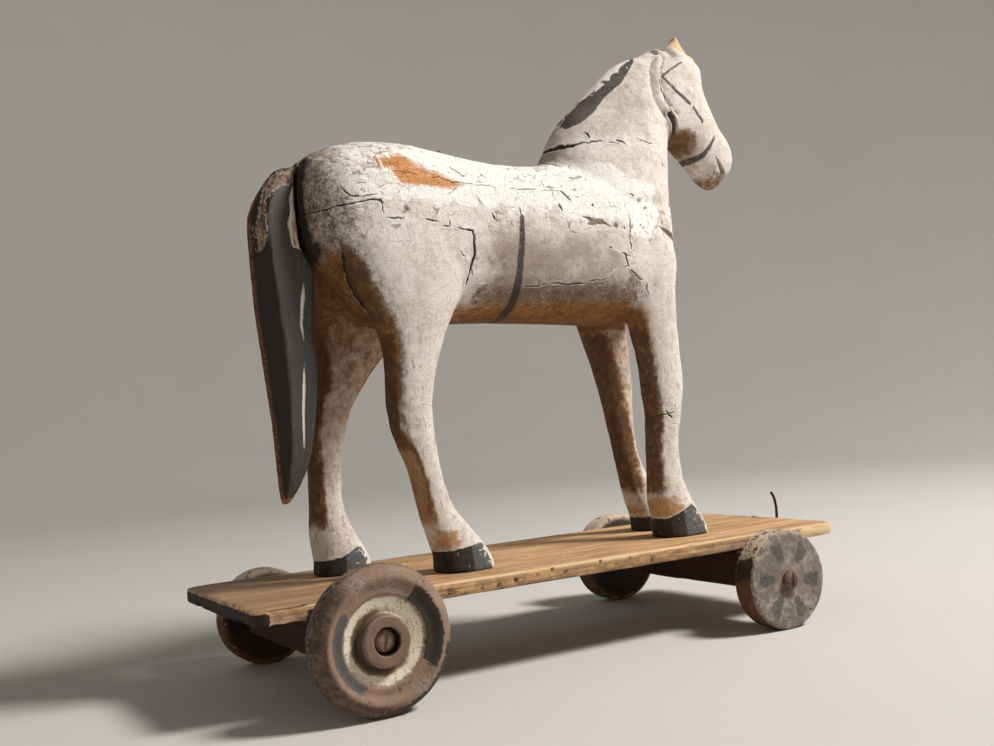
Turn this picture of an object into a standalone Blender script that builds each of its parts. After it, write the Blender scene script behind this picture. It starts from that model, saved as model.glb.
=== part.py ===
"""An old carved and painted wooden horse on a wheeled board, a child's pull toy.

The horse faces +X, its left side is +Y and +Z is up. The wheels stand on z = 0, and the origin is
the middle of the toy's box on the ground. Every size in the tables is in millimetres.
"""

import math
from collections import namedtuple

import bmesh
import bpy
import numpy as np
from mathutils import Matrix, Vector

MM = 0.001
GAP = 0.3          # clearance between two pieces that touch

# Board
BOARD_LENGTH = 420.0
BOARD_WIDTH = 136.0
BOARD_THICKNESS = 9.2
BOARD_TOP = 59.3
BOARD_CORNER = 7.0
BOARD_EDGE = 1.2
BOARD_BOTTOM = BOARD_TOP - BOARD_THICKNESS
HOOK_REACH = 11.5  # how far the pull hook stands out of the board's front edge
TOY_X = -HOOK_REACH / 2

# Axle beams, measured from the middle of the board
REAR_AXLE_X = -152.2
FRONT_AXLE_X = 132.8
BEAM_DEPTH = 33.0
BEAM_HALF_SPAN = 76.5
REAR_BEAM_BOTTOM = 23.5
FRONT_BEAM_BOTTOM = 26.0

# Wheels: an unlike set, the right rear one is a larger, turned replacement
WHEEL_SIDES = 42   # a flat facet lies on the floor
FLAT_RATIO = math.cos(math.pi / WHEEL_SIDES)
Wheel = namedtuple("Wheel", "name x side diameter thickness face_y")
REAR_RIGHT = Wheel("rear_right", REAR_AXLE_X, -1, 79.6, 21.0, 102.4)
PLAIN_WHEELS = (
    Wheel("rear_left", REAR_AXLE_X, 1, 61.8, 16.5, 98.7),
    Wheel("front_right", FRONT_AXLE_X, -1, 63.5, 17.5, 98.0),
    Wheel("front_left", FRONT_AXLE_X, 1, 66.0, 17.0, 98.7),
)
BORE_RADIUS = 3.6
HUB_RADIUS = 13.7
HUB_POCKET_RADIUS = 7.4
HUB_POCKET_DEPTH = 6.0
DISH_RADIUS = 23.2
DISH_RIM_DEPTH = 4.4
DISH_FLOOR_DEPTH = 6.9

# Wheel screws
SCREW_SIDES = 16
HEAD_RADIUS = 6.3
HEAD_HEIGHT = 3.4
SHANK_RADIUS = 2.7
SHANK_IN_BEAM = 22.0
SLOT_WIDTH = 1.5
SLOT_DEPTH = 1.5
SLOT_TURN = {"rear_right": -12, "rear_left": 35, "front_right": -8, "front_left": 70}

# Hook and tack
HOOK_WIRE_RADIUS = 0.95
HOOK_ROOT = 9.0
TACK_RADIUS = 3.6
TACK_HEIGHT = 1.6

# Horse: heights from here on are measured from the board's top
NECK_JOINT_Z = 271.0
HIND_JOINT_Y = 12.5      # the hind legs are glued to a core of twice this width
FORE_JOINT_Y = 5.5
CARVING_VOXEL = 1.7
CARVING_ROUNDS = 12

# One ring of a carved form. x, z: its middle. depth, width: its half sizes. tilt: degrees that the
# depth direction leans up from +X. y: sideways place. full: 2 is an ellipse, more is squarer.
# lean: how much narrower the ring is at its +depth end than at its -depth end.
Ring = namedtuple("Ring", "x z depth width tilt y full lean")

TRUNK = (
    Ring(-147.5, 226, 12, 12, 90, 0, 2.2, 0.0),       # back of the rump
    Ring(-144.5, 227, 23.5, 24, 90, 0, 2.3, 0.0),
    Ring(-138, 225, 30.5, 32, 90, 0, 2.4, 0.05),
    Ring(-125, 218.5, 42, 39, 90, 0, 2.4, 0.05),
    Ring(-105, 209.3, 55.4, 42, 90, 0, 2.4, 0.08),    # croup, its highest point
    Ring(-80, 208, 57, 42, 90, 0, 2.3, 0.10),
    Ring(-52, 206.3, 54.5, 40, 90, 0, 2.3, 0.10),     # flank
    Ring(-20, 203.8, 52, 39.5, 90, 0, 2.3, 0.08),
    Ring(12, 202.8, 52, 40.5, 90, 0, 2.3, 0.06),      # dip of the back
    Ring(40, 204.5, 55, 41, 90, 0, 2.3, 0.12),
    Ring(70, 206.5, 59, 40, 90, 0, 2.3, 0.20),        # shoulder
    Ring(96, 207.5, 57.5, 36, 90, 0, 2.3, 0.18),
    Ring(111, 209, 52.5, 30.5, 90, 0, 2.3, 0.10),
    Ring(121, 211, 46, 24, 90, 0, 2.3, 0.05),
    Ring(127, 213, 39, 16, 90, 0, 2.3, 0.0),
    Ring(130, 214, 28, 7, 90, 0, 2.2, 0.0),           # front of the chest
)
NECK = (
    Ring(82, 232, 48, 35, 0, 0, 2.2, 0.0),            # inside the shoulder
    Ring(82, 254, 51, 32, 0, 0, 2.2, 0.0),
    Ring(86, 269, 49, 28.5, 0, 0, 2.2, -0.05),        # at the neck joint
    Ring(93, 281.7, 43.7, 24.5, -9, 0, 2.2, -0.1),
    Ring(105.8, 296.4, 36.4, 20.8, -20, 0, 2.1, -0.1),
    Ring(119.8, 311.2, 32, 18.0, -30, 0, 2.1, -0.1),
    Ring(134.9, 323.6, 26.4, 16.5, -40, 0, 2.1, -0.1),
    Ring(148, 332.5, 19.5, 14.5, -52, 0, 2.1, 0.0),   # poll
)
HEAD = (
    Ring(146, 343.5, 10, 9, 28, 0, 2.2, 0.0),         # top of the poll
    Ring(145.5, 336, 23, 16, 26, 0, 2.6, 0.0),
    Ring(146.5, 323.5, 29, 18.8, 23, 0, 2.8, 0.0),    # brow
    Ring(151, 310, 26, 19.6, 24, 0, 2.7, 0.1),        # cheeks
    Ring(160.5, 297, 23, 18.3, 26, 0, 2.5, 0.12),
    Ring(170.5, 283, 20.5, 15.8, 28, 0, 2.4, 0.10),   # noseband
    Ring(179.5, 271, 19.5, 14.8, 29, 0, 2.4, 0.0),    # muzzle
    Ring(184.5, 260.5, 17, 13.2, 27, 0, 2.3, 0.0),
    Ring(186, 253.5, 13, 10, 24, 0, 2.2, 0.0),        # lips
    Ring(186.5, 249, 8, 6, 22, 0, 2.2, 0.0),
)
# The round jowl, turned about Y: radius and half thickness from its rim to its middle
JOWL_PLACE = (146, 304)
JOWL = ((25, 9), (23.5, 15), (19, 18.6), (11, 20.3), (0, 20.6))
HIND_LEG_RIGHT = (
    Ring(-96, 217, 34, 12, 0, -29, 2.2, 0.0),         # inside the haunch
    Ring(-93, 200, 42, 15, 0, -28.5, 2.3, 0.0),
    Ring(-89, 182, 39, 15.5, 0, -28, 2.3, 0.0),       # thigh
    Ring(-88, 162, 30, 15, 0, -28, 2.2, 0.0),
    Ring(-89.5, 142, 21, 13.5, 0, -28, 2.1, 0.0),
    Ring(-92, 122, 16.3, 12, 0, -28, 2.1, 0.0),
    Ring(-94.5, 104, 14.6, 11, 0, -28.5, 2.1, 0.0),   # hock
    Ring(-93.5, 87, 13.2, 10.2, 0, -28.5, 2.1, 0.0),
    Ring(-88.5, 64, 10.4, 9.2, 0, -29, 2.1, 0.0),     # cannon
    Ring(-83.5, 42, 10.8, 9.6, 0, -29, 2.1, 0.0),
    Ring(-76, 26, 14.0, 11.6, 0, -29.5, 2.2, 0.0),    # fetlock
    Ring(-69, 14, 16.5, 13.2, 0, -29.5, 2.4, 0.0),
    Ring(-66.5, 6, 17.5, 14.2, 0, -29.5, 2.6, 0.0),   # hoof
    Ring(-65.5, -6, 18.8, 15.0, 0, -29.5, 2.6, 0.0),
)
# The left hind leg stands further back: how far each of the rings above is moved along x.
HIND_LEFT_SHIFT = (0, 0, 0, -5, -12, -20, -28, -33.5, -40, -45.5, -50, -53, -54, -54.5)
FORELEG_RIGHT = (
    Ring(98, 204, 20, 10, 0, -24, 2.2, 0.0),          # inside the shoulder
    Ring(96.5, 187, 24.5, 14, 0, -23.5, 2.2, 0.0),
    Ring(97, 167, 21.7, 14, 0, -22.5, 2.2, 0.0),      # upper arm
    Ring(98.7, 145, 18.8, 13, 0, -22, 2.1, 0.0),
    Ring(101.3, 122, 15.8, 12.4, 0, -22, 2.1, 0.0),
    Ring(102.3, 102, 15.2, 12, 0, -22, 2.1, 0.0),     # knee
    Ring(100.8, 82, 12.8, 11, 0, -22, 2.1, 0.0),
    Ring(98.5, 62, 11.8, 10.2, 0, -22, 2.1, 0.0),     # cannon
    Ring(98.2, 42, 12.8, 10.8, 0, -22, 2.1, 0.0),
    Ring(100.8, 26, 15.6, 12.4, 0, -22, 2.2, 0.0),    # fetlock
    Ring(105, 15, 17.4, 13.6, 0, -22, 2.4, 0.0),
    Ring(107.7, 6, 18.8, 14.6, 0, -22, 2.6, 0.0),     # hoof
    Ring(109, -6, 20.0, 15.4, 0, -22, 2.6, 0.0),
)
# The left foreleg strides forward and is slimmer from the knee down.
FORE_LEFT_SHIFT = (-10, -10, -10, -9.5, -8, -6, -3, 1.8, 7, 11.5, 14.5, 16, 17)
FORE_LEFT_SHARE = (1, 1, 1, 1, 0.95, 0.86, 0.81, 0.80, 0.83, 0.90, 0.95, 1, 1)
FORE_LEFT_Y = 24.0
# The tail's rings lie level; its section has six corners.
TAIL = (
    Ring(-143, 249, 3.5, 3.6, 0, 0, 2, 0.0),          # tongue, let into the rump
    Ring(-146, 247.5, 5.5, 3.9, 0, 0, 2, 0.0),
    Ring(-152.5, 245, 7.5, 6.5, 0, 0, 2, 0.0),
    Ring(-159.5, 233, 10.5, 10.5, 0, 0, 2, 0.0),
    Ring(-163.5, 218, 14.5, 13, 0, 0, 2, 0.0),
    Ring(-163, 197, 15.5, 14.6, 0, 0, 2, 0.0),
    Ring(-159.5, 167, 18.2, 15.6, 0, 0, 2, 0.0),
    Ring(-157, 137, 18.2, 15.0, 0, 0, 2, 0.0),
    Ring(-156.5, 107, 15.8, 13.2, 0, 0, 2, 0.0),
    Ring(-158.5, 77, 12.0, 10.5, 0, 0, 2, 0.0),
    Ring(-162, 59, 7.5, 7.2, 0, 0, 2, 0.0),
    Ring(-165.5, 48.5, 2.4, 2.8, 0, 0, 2, 0.0),
)
EAR_BASE_RADIUS = 9.0
EAR_TIP_RADIUS = 3.2
RIGHT_EAR = ((149, -8, 338), (154, -8.5, 355.5))
LEFT_EAR = ((146, 8, 336), (147.5, 8, 350.5))     # broken off shorter
RUMP_CLEFT_WIDTH = 9.0
MOUTH_SLIT = 1.9

# Triangles left in each carved piece
BUDGET = {
    "body": 1420,
    "head_and_neck": 1400,
    "hind_leg_right": 600,
    "hind_leg_left": 600,
    "foreleg_right": 520,
    "foreleg_left": 520,
}

COLOURS = {
    # name: colour, roughness, metallic
    "gesso": ((0.72, 0.67, 0.60), 0.75, 0.0),
    "tail_paint": ((0.035, 0.035, 0.04), 0.6, 0.0),
    "board_wood": ((0.50, 0.30, 0.15), 0.7, 0.0),
    "beam_wood": ((0.12, 0.04, 0.025), 0.8, 0.0),
    "turned_wheel": ((0.23, 0.15, 0.11), 0.7, 0.0),
    "plain_wheel": ((0.33, 0.30, 0.27), 0.8, 0.0),
    "rusty_iron": ((0.16, 0.085, 0.055), 0.65, 0.8),
    "dark_wire": ((0.03, 0.03, 0.03), 0.5, 0.9),
    "pale_tack": ((0.55, 0.47, 0.38), 0.5, 0.3),
}


# ---------------------------------------------------------------------------------------------
# Helpers


def clear_scene():
    for thing in list(bpy.data.objects):
        bpy.data.objects.remove(thing, do_unlink=True)


def new_collection(name):
    collection = bpy.data.collections.new(name)
    bpy.context.scene.collection.children.link(collection)
    return collection


def material(name):
    colour, roughness, metallic = COLOURS[name]
    found = bpy.data.materials.get(name)
    if found:
        return found
    made = bpy.data.materials.new(name)
    made.use_nodes = True
    shader = made.node_tree.nodes["Principled BSDF"]
    shader.inputs["Base Color"].default_value = (*colour, 1.0)
    shader.inputs["Roughness"].default_value = roughness
    shader.inputs["Metallic"].default_value = metallic
    return made


def add_object(name, mesh, collection, finish=None, parent=None):
    thing = bpy.data.objects.new(name, mesh)
    collection.objects.link(thing)
    if finish:
        mesh.materials.clear()
        mesh.materials.append(material(finish))
    if parent:
        thing.parent = parent
    return thing


def add_cutter(name, mesh, collection, parent=None):
    cutter = add_object(name, mesh, collection, parent=parent)
    cutter.hide_render = True
    cutter.display_type = "WIRE"
    return cutter


def mesh_from_bmesh(name, bm):
    mesh = bpy.data.meshes.new(name)
    bm.to_mesh(mesh)
    bm.free()
    return mesh


def evaluated_mesh(thing):
    """The object's mesh with its modifiers worked out, in its own space."""
    bpy.context.view_layer.update()
    graph = bpy.context.evaluated_depsgraph_get()
    return bpy.data.meshes.new_from_object(thing.evaluated_get(graph))


def take_mesh(thing):
    """Replaces the object's mesh by its evaluated one and drops the modifiers."""
    mesh = evaluated_mesh(thing)
    thing.modifiers.clear()
    thing.data = mesh
    return thing


def boolean(thing, cutter, operation):
    modifier = thing.modifiers.new(f"{operation.lower()} {cutter.name}", "BOOLEAN")
    modifier.operation = operation
    modifier.object = cutter
    modifier.solver = "EXACT"
    return modifier


def box_mesh(name, low, high):
    """A box between two corners given in millimetres."""
    low = Vector(low) * MM
    high = Vector(high) * MM
    bm = bmesh.new()
    bmesh.ops.create_cube(bm, size=1.0)
    bmesh.ops.scale(bm, vec=high - low, verts=bm.verts)
    bmesh.ops.translate(bm, vec=(high + low) / 2, verts=bm.verts)
    return mesh_from_bmesh(name, bm)


def plate_mesh(name, outline, low_y, high_y):
    """An outline of (x, z) points in millimetres, run counter-clockwise, thick from low_y to high_y."""
    bm = bmesh.new()
    near = [bm.verts.new((x * MM, low_y * MM, z * MM)) for x, z in outline]
    face = bm.faces.new(near)
    moved = bmesh.ops.extrude_face_region(bm, geom=[face])
    verts = [item for item in moved["geom"] if isinstance(item, bmesh.types.BMVert)]
    bmesh.ops.translate(bm, vec=(0, (high_y - low_y) * MM, 0), verts=verts)
    bmesh.ops.recalc_face_normals(bm, faces=bm.faces)
    return mesh_from_bmesh(name, bm)


def turned_mesh(name, profile, sides):
    """A profile of (radius, height) points in millimetres, turned about Z.

    It runs down its outer side, so that the faces point out. A profile whose two ends lie on the
    axis is left open there; any other is closed.
    """
    outline = bpy.data.meshes.new(name)
    points = [(radius * MM, 0.0, height * MM) for radius, height in profile]
    edges = [(i, i + 1) for i in range(len(points) - 1)]
    if profile[0][0] or profile[-1][0]:
        edges.append((len(points) - 1, 0))
    outline.from_pydata(points, edges, [])
    blank = bpy.data.objects.new(name, outline)
    bpy.context.scene.collection.objects.link(blank)
    screw = blank.modifiers.new("turn", "SCREW")
    screw.angle = math.tau
    screw.steps = sides
    screw.render_steps = sides
    screw.use_merge_vertices = True
    screw.merge_threshold = 0.00001
    mesh = evaluated_mesh(blank)
    bpy.data.objects.remove(blank, do_unlink=True)
    bpy.data.meshes.remove(outline)
    return mesh


def smooth_shade(mesh, angle=40):
    mesh.shade_smooth()
    mesh.set_sharp_from_angle(angle=math.radians(angle))


# ---------------------------------------------------------------------------------------------
# Carved forms


def between(rings, steps):
    """The rings with evenly spaced ones put in between, on a smooth Catmull-Rom curve."""
    table = np.array(rings, dtype=float)
    table = np.vstack([2 * table[0] - table[1], table, 2 * table[-1] - table[-2]])
    finer = []
    for start in range(1, len(table) - 2):
        a, b, c, d = table[start - 1:start + 3]
        for step in range(steps):
            t = step / steps
            value = 0.5 * (2 * b + (c - a) * t + (2 * a - 5 * b + 4 * c - d) * t ** 2
                           + (3 * b - a - 3 * c + d) * t ** 3)
            finer.append(Ring(*value))
    finer.append(Ring(*table[-2]))
    return finer


def ring_points(ring, corners, turn=0.0):
    """The points of one ring, a superellipse that leans by its tilt in the XZ plane."""
    tilt = math.radians(ring.tilt)
    points = []
    for number in range(corners):
        angle = math.tau * number / corners + turn
        cosine = math.cos(angle)
        sine = math.sin(angle)
        along = math.copysign(abs(cosine) ** (2 / ring.full), cosine)
        across = math.copysign(abs(sine) ** (2 / ring.full), sine)
        across *= 1 - ring.lean * along
        points.append((
            (ring.x + ring.depth * along * math.cos(tilt)) * MM,
            (ring.y + ring.width * across) * MM,
            (ring.z + ring.depth * along * math.sin(tilt)) * MM,
        ))
    return points


def loft_mesh(name, loops):
    """Skins a row of point loops and closes both ends."""
    bm = bmesh.new()
    rows = [[bm.verts.new(point) for point in loop] for loop in loops]
    count = len(rows[0])
    for lower, upper in zip(rows, rows[1:]):
        for i in range(count):
            j = (i + 1) % count
            bm.faces.new((lower[i], lower[j], upper[j], upper[i]))
    bm.faces.new(rows[0])
    bm.faces.new(rows[-1])
    bmesh.ops.recalc_face_normals(bm, faces=bm.faces)
    return mesh_from_bmesh(name, bm)


def carved_mesh(name, rings, corners=32, steps=4):
    return loft_mesh(name, [ring_points(ring, corners) for ring in between(rings, steps)])


def left_rings(rings, shifts, shares=None, y=None):
    """A right leg's rings for the left leg: each moved along x and, if asked, scaled."""
    moved = []
    for number, (ring, shift) in enumerate(zip(rings, shifts)):
        share = shares[number] if shares else 1.0
        moved.append(ring._replace(
            x=ring.x + shift,
            y=-ring.y if y is None else y,
            depth=ring.depth * share,
            width=ring.width * share,
        ))
    return moved


def stub_mesh(name, ends):
    """A blunt ear between two points, given in millimetres."""
    low, high = (Vector(end) * MM for end in ends)
    axis = high - low
    bm = bmesh.new()
    bmesh.ops.create_cone(
        bm,
        cap_ends=True,
        segments=20,
        radius1=EAR_BASE_RADIUS * MM,
        radius2=EAR_TIP_RADIUS * MM,
        depth=axis.length,
    )
    turn = Vector((0, 0, 1)).rotation_difference(axis).to_matrix().to_4x4()
    bmesh.ops.transform(bm, matrix=Matrix.Translation((low + high) / 2) @ turn, verts=bm.verts)
    return mesh_from_bmesh(name, bm)


def jowl_mesh():
    x, z = JOWL_PLACE
    half = [(radius, wide) for radius, wide in reversed(JOWL)]
    mesh = turned_mesh("jowl form", half + [(radius, -wide) for radius, wide in JOWL], 32)
    mesh.transform(Matrix.Translation((x * MM, 0, z * MM)) @ Matrix.Rotation(math.pi / 2, 4, "X"))
    return mesh


def carve_horse(cutters, horse):
    """The whole horse as one blended form, standing 0.3 mm clear of the board."""
    fore_left = left_rings(FORELEG_RIGHT, FORE_LEFT_SHIFT, FORE_LEFT_SHARE, FORE_LEFT_Y)
    forms = [
        carved_mesh("trunk form", TRUNK, corners=40),
        carved_mesh("neck form", NECK, corners=40),
        carved_mesh("head form", HEAD, corners=36),
        jowl_mesh(),
        carved_mesh("hind right form", HIND_LEG_RIGHT),
        carved_mesh("hind left form", left_rings(HIND_LEG_RIGHT, HIND_LEFT_SHIFT)),
        carved_mesh("fore right form", FORELEG_RIGHT),
        carved_mesh("fore left form", fore_left),
        stub_mesh("right ear form", RIGHT_EAR),
        stub_mesh("left ear form", LEFT_EAR),
    ]
    bm = bmesh.new()
    for form in forms:
        bm.from_mesh(form)
    blank = add_cutter("horse blank", mesh_from_bmesh("horse blank", bm), cutters, parent=horse)
    for form in forms:
        bpy.data.meshes.remove(form)
    blend = blank.modifiers.new("blend", "REMESH")
    blend.mode = "VOXEL"
    blend.voxel_size = CARVING_VOXEL * MM
    rounding = blank.modifiers.new("rounding", "SMOOTH")
    rounding.factor = 0.5
    rounding.iterations = CARVING_ROUNDS
    take_mesh(blank)

    half_cleft = RUMP_CLEFT_WIDTH / 2
    cleft = [(-160, 182), (-136, 200), (-139, 232), (-137, 272), (-160, 272)]
    mouth = [(185.5, 264), (191, 245), (191 + MOUTH_SLIT, 245.5), (186.4, 264.4)]
    cuts = {
        "rump cleft": plate_mesh("rump cleft", cleft, -half_cleft, half_cleft),
        "mouth": plate_mesh("mouth", mouth, -30, 30),
        "under the hooves": box_mesh("under the hooves", (-300, -100, -60), (300, 100, GAP)),
    }
    for name, mesh in cuts.items():
        boolean(blank, add_cutter(name, mesh, cutters, parent=horse), "DIFFERENCE")
    return take_mesh(blank)


def grown(outline, by):
    """The outline with every side moved out by the given amount."""
    moved = []
    for number, corner in enumerate(outline):
        here = Vector(corner)
        before = (here - Vector(outline[number - 1])).normalized()
        after = (Vector(outline[(number + 1) % len(outline)]) - here).normalized()
        out = Vector((before.y, -before.x)) + Vector((after.y, -after.x))
        out *= by * 2 / out.length_squared
        moved.append(tuple(here + out))
    return moved


def joint_blocks(cutters, horse):
    """For each glued-on piece, the block that holds it and the slightly larger one cut for it."""
    far = 200.0
    ground = -30.0
    hind = [(-far, ground), (-48, ground), (-48, 205), (-104, 214.5), (-108, 223), (-far, 217)]
    joint = NECK_JOINT_Z + GAP
    chin = joint - 39        # in front of the chest the block hangs lower, to take in the muzzle
    head = [(-far, joint), (148, joint), (148, chin), (300, chin), (300, 442), (-far, 442)]
    blocks = {"head_and_neck": (head, -far, far)}
    for side, sign, back in (("right", -1, 72), ("left", 1, 60)):
        fore = [(back, ground), (far, ground), (far, 194), (back, 194)]
        for leg, outline, inner in (("hind_leg", hind, HIND_JOINT_Y), ("foreleg", fore, FORE_JOINT_Y)):
            near, wide = sorted((sign * inner, sign * far))
            blocks[f"{leg}_{side}"] = (outline, near, wide)
    pairs = {}
    for name, (outline, near, wide) in blocks.items():
        block = plate_mesh(name, outline, near, wide)
        room = plate_mesh(name, grown(outline, GAP), near - GAP, wide + GAP)
        pairs[name] = (
            add_cutter(f"{name} block", block, cutters, horse),
            add_cutter(f"{name} room", room, cutters, horse),
        )
    return pairs


def thin_out(thing, triangles):
    """Keeps the form with about the given number of triangles."""
    take_mesh(thing)
    thing.data.calc_loop_triangles()
    decimate = thing.modifiers.new("facets", "DECIMATE")
    decimate.ratio = min(1.0, triangles / len(thing.data.loop_triangles))
    decimate.use_collapse_triangulate = True
    take_mesh(thing)
    smooth_shade(thing.data, 50)


def build_horse(parts, cutters, horse):
    whole = carve_horse(cutters, horse)
    blocks = joint_blocks(cutters, horse)
    body = add_object("body", whole.data.copy(), parts, "gesso", horse)
    for name, (block, room) in blocks.items():
        piece = add_object(name, whole.data.copy(), parts, "gesso", horse)
        boolean(piece, block, "INTERSECT")
        thin_out(piece, BUDGET[name])
        boolean(body, room, "DIFFERENCE")
    thin_out(body, BUDGET["body"])
    bpy.data.objects.remove(whole, do_unlink=True)


def build_tail(parts, horse):
    loops = [ring_points(ring, 6, turn=math.radians(8)) for ring in between(TAIL, 2)]
    tail = add_object("tail", loft_mesh("tail", loops), parts, "tail_paint", horse)
    smooth_shade(tail.data, 30)


# ---------------------------------------------------------------------------------------------
# Board and running gear


def build_board(parts, toy):
    mesh = box_mesh(
        "board",
        (-BOARD_LENGTH / 2, -BOARD_WIDTH / 2, BOARD_BOTTOM),
        (BOARD_LENGTH / 2, BOARD_WIDTH / 2, BOARD_TOP),
    )
    bm = bmesh.new()
    bm.from_mesh(mesh)
    uprights = [edge for edge in bm.edges if abs(edge.verts[0].co.z - edge.verts[1].co.z) > MM]
    bmesh.ops.bevel(bm, geom=uprights, offset=BOARD_CORNER * MM, segments=5, profile=0.5,
                    affect="EDGES")
    bm.to_mesh(mesh)
    bm.free()
    board = add_object("board", mesh, parts, "board_wood", toy)
    rounded = board.modifiers.new("worn edges", "BEVEL")
    rounded.width = BOARD_EDGE * MM
    rounded.segments = 2
    rounded.limit_method = "ANGLE"
    rounded.angle_limit = math.radians(60)
    return board


def axle_height(wheel):
    return wheel.diameter / 2 * FLAT_RATIO


def build_beam(name, x, bottom, wheels, parts, cutters, toy):
    """A cross bar under the board, with a hole at each end for a wheel's screw."""
    mesh = box_mesh(
        name,
        (x - BEAM_DEPTH / 2, -BEAM_HALF_SPAN, bottom),
        (x + BEAM_DEPTH / 2, BEAM_HALF_SPAN, BOARD_BOTTOM - GAP),
    )
    beam = add_object(name, mesh, parts, "beam_wood", toy)
    length = SHANK_IN_BEAM + GAP
    for wheel in wheels:
        bm = bmesh.new()
        bmesh.ops.create_cone(
            bm,
            cap_ends=True,
            segments=SCREW_SIDES,
            radius1=(SHANK_RADIUS + GAP) * MM,
            radius2=(SHANK_RADIUS + GAP) * MM,
            depth=2 * length * MM,
        )
        hole = add_cutter(f"{wheel.name} screw hole", mesh_from_bmesh("hole", bm), cutters, toy)
        hole.rotation_euler = (math.pi / 2, 0, 0)
        hole.location = (x * MM, wheel.side * BEAM_HALF_SPAN * MM, axle_height(wheel) * MM)
        boolean(beam, hole, "DIFFERENCE")
    return beam


def plain_profile(wheel):
    """Half section of a plain disc wheel. Height 0 is the outer face."""
    radius = wheel.diameter / 2
    round_off = 1.6
    return [
        (BORE_RADIUS, 0),
        (radius - round_off, 0),
        (radius, -round_off),
        (radius, round_off - wheel.thickness),
        (radius - round_off, -wheel.thickness),
        (BORE_RADIUS, -wheel.thickness),
    ]


def turned_profile(wheel):
    """Half section of the turned wheel: hub with a pocket, sunk dish and rounded tyre."""
    radius = wheel.diameter / 2
    inner = -wheel.thickness
    return [
        (BORE_RADIUS, -HUB_POCKET_DEPTH),
        (HUB_POCKET_RADIUS, -HUB_POCKET_DEPTH),
        (HUB_POCKET_RADIUS, 0),
        (HUB_RADIUS - 0.7, 0),
        (HUB_RADIUS, -0.7),
        (HUB_RADIUS + 0.2, -DISH_FLOOR_DEPTH),
        (DISH_RADIUS, -DISH_RIM_DEPTH),
        (DISH_RADIUS + 0.5, -DISH_RIM_DEPTH + 1.0),
        (radius * 0.72, -1.9),
        (radius * 0.83, -0.9),
        (radius * 0.92, -2.6),
        (radius * 0.98, -5.2),
        (radius, -8.0),
        (radius, -11.0),
        (radius * 0.96, inner + 3.5),
        (radius * 0.88, inner),
        (BORE_RADIUS, inner),
    ]


def build_wheel(wheel, profile, finish, parts, toy):
    mesh = turned_mesh(f"wheel {wheel.name}", profile, WHEEL_SIDES)
    smooth_shade(mesh, 35)
    thing = add_object(f"wheel_{wheel.name}", mesh, parts, finish, toy)
    thing.rotation_euler = (-wheel.side * math.pi / 2, 0, 0)
    thing.location = (wheel.x * MM, wheel.side * wheel.face_y * MM, axle_height(wheel) * MM)
    return thing


def build_screw(wheel, seat, parts, cutters, toy):
    """The round-head screw that a wheel turns on. seat: depth of the head's underside below the
    wheel's outer face, negative where the head stands proud."""
    tip = BEAM_HALF_SPAN - SHANK_IN_BEAM - wheel.face_y
    under = -seat
    profile = [
        (0, under + HEAD_HEIGHT),
        (HEAD_RADIUS * 0.62, under + HEAD_HEIGHT * 0.86),
        (HEAD_RADIUS * 0.92, under + HEAD_HEIGHT * 0.5),
        (HEAD_RADIUS, under),
        (SHANK_RADIUS, under),
        (SHANK_RADIUS, tip),
        (0, tip),
    ]
    mesh = turned_mesh(f"screw {wheel.name}", profile, SCREW_SIDES)
    smooth_shade(mesh, 35)
    screw = add_object(f"wheel_screw_{wheel.name}", mesh, parts, "rusty_iron", toy)
    screw.rotation_euler = (-wheel.side * math.pi / 2, 0, 0)
    screw.location = (wheel.x * MM, wheel.side * wheel.face_y * MM, axle_height(wheel) * MM)
    top = under + HEAD_HEIGHT
    slot = box_mesh(
        "slot",
        (-SLOT_WIDTH / 2, -HEAD_RADIUS - 1, top - SLOT_DEPTH),
        (SLOT_WIDTH / 2, HEAD_RADIUS + 1, top + 1),
    )
    cutter = add_cutter(f"{wheel.name} slot", slot, cutters)
    cutter.parent = screw
    cutter.rotation_euler = (0, 0, math.radians(SLOT_TURN[wheel.name]))
    boolean(screw, cutter, "DIFFERENCE")
    return screw


def build_hook(parts, toy):
    """The bent wire at the middle of the board's front edge, open towards the board."""
    front = BOARD_LENGTH / 2
    middle = (BOARD_TOP + BOARD_BOTTOM) / 2
    reach = HOOK_REACH - HOOK_WIRE_RADIUS
    path = [(front - HOOK_ROOT, middle), (front, middle)]
    turn = 5.0
    corner = (front + reach - turn, middle + turn)
    for number in range(5):
        angle = math.radians(-90 + number * 22.5)
        path.append((corner[0] + turn * math.cos(angle), corner[1] + turn * math.sin(angle)))
    for rise, back in ((6, 0.1), (11, 0.9), (15, 2.4), (17.5, 4.4)):
        path.append((front + reach - back, corner[1] + rise))
    curve = bpy.data.curves.new("pull_hook", "CURVE")
    curve.dimensions = "3D"
    curve.bevel_depth = HOOK_WIRE_RADIUS * MM
    curve.bevel_resolution = 2
    curve.use_fill_caps = True
    spline = curve.splines.new("POLY")
    spline.points.add(len(path) - 1)
    for point, (x, z) in zip(spline.points, path):
        point.co = (x * MM, 0, z * MM, 1)
    wire = bpy.data.objects.new("pull_hook wire", curve)
    bpy.context.scene.collection.objects.link(wire)
    mesh = evaluated_mesh(wire)
    bpy.data.objects.remove(wire, do_unlink=True)
    bm = bmesh.new()
    bm.from_mesh(mesh)
    bmesh.ops.remove_doubles(bm, verts=bm.verts, dist=0.00001)
    bm.to_mesh(mesh)
    bm.free()
    smooth_shade(mesh, 60)
    return add_object("pull_hook", mesh, parts, "dark_wire", toy)


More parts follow.
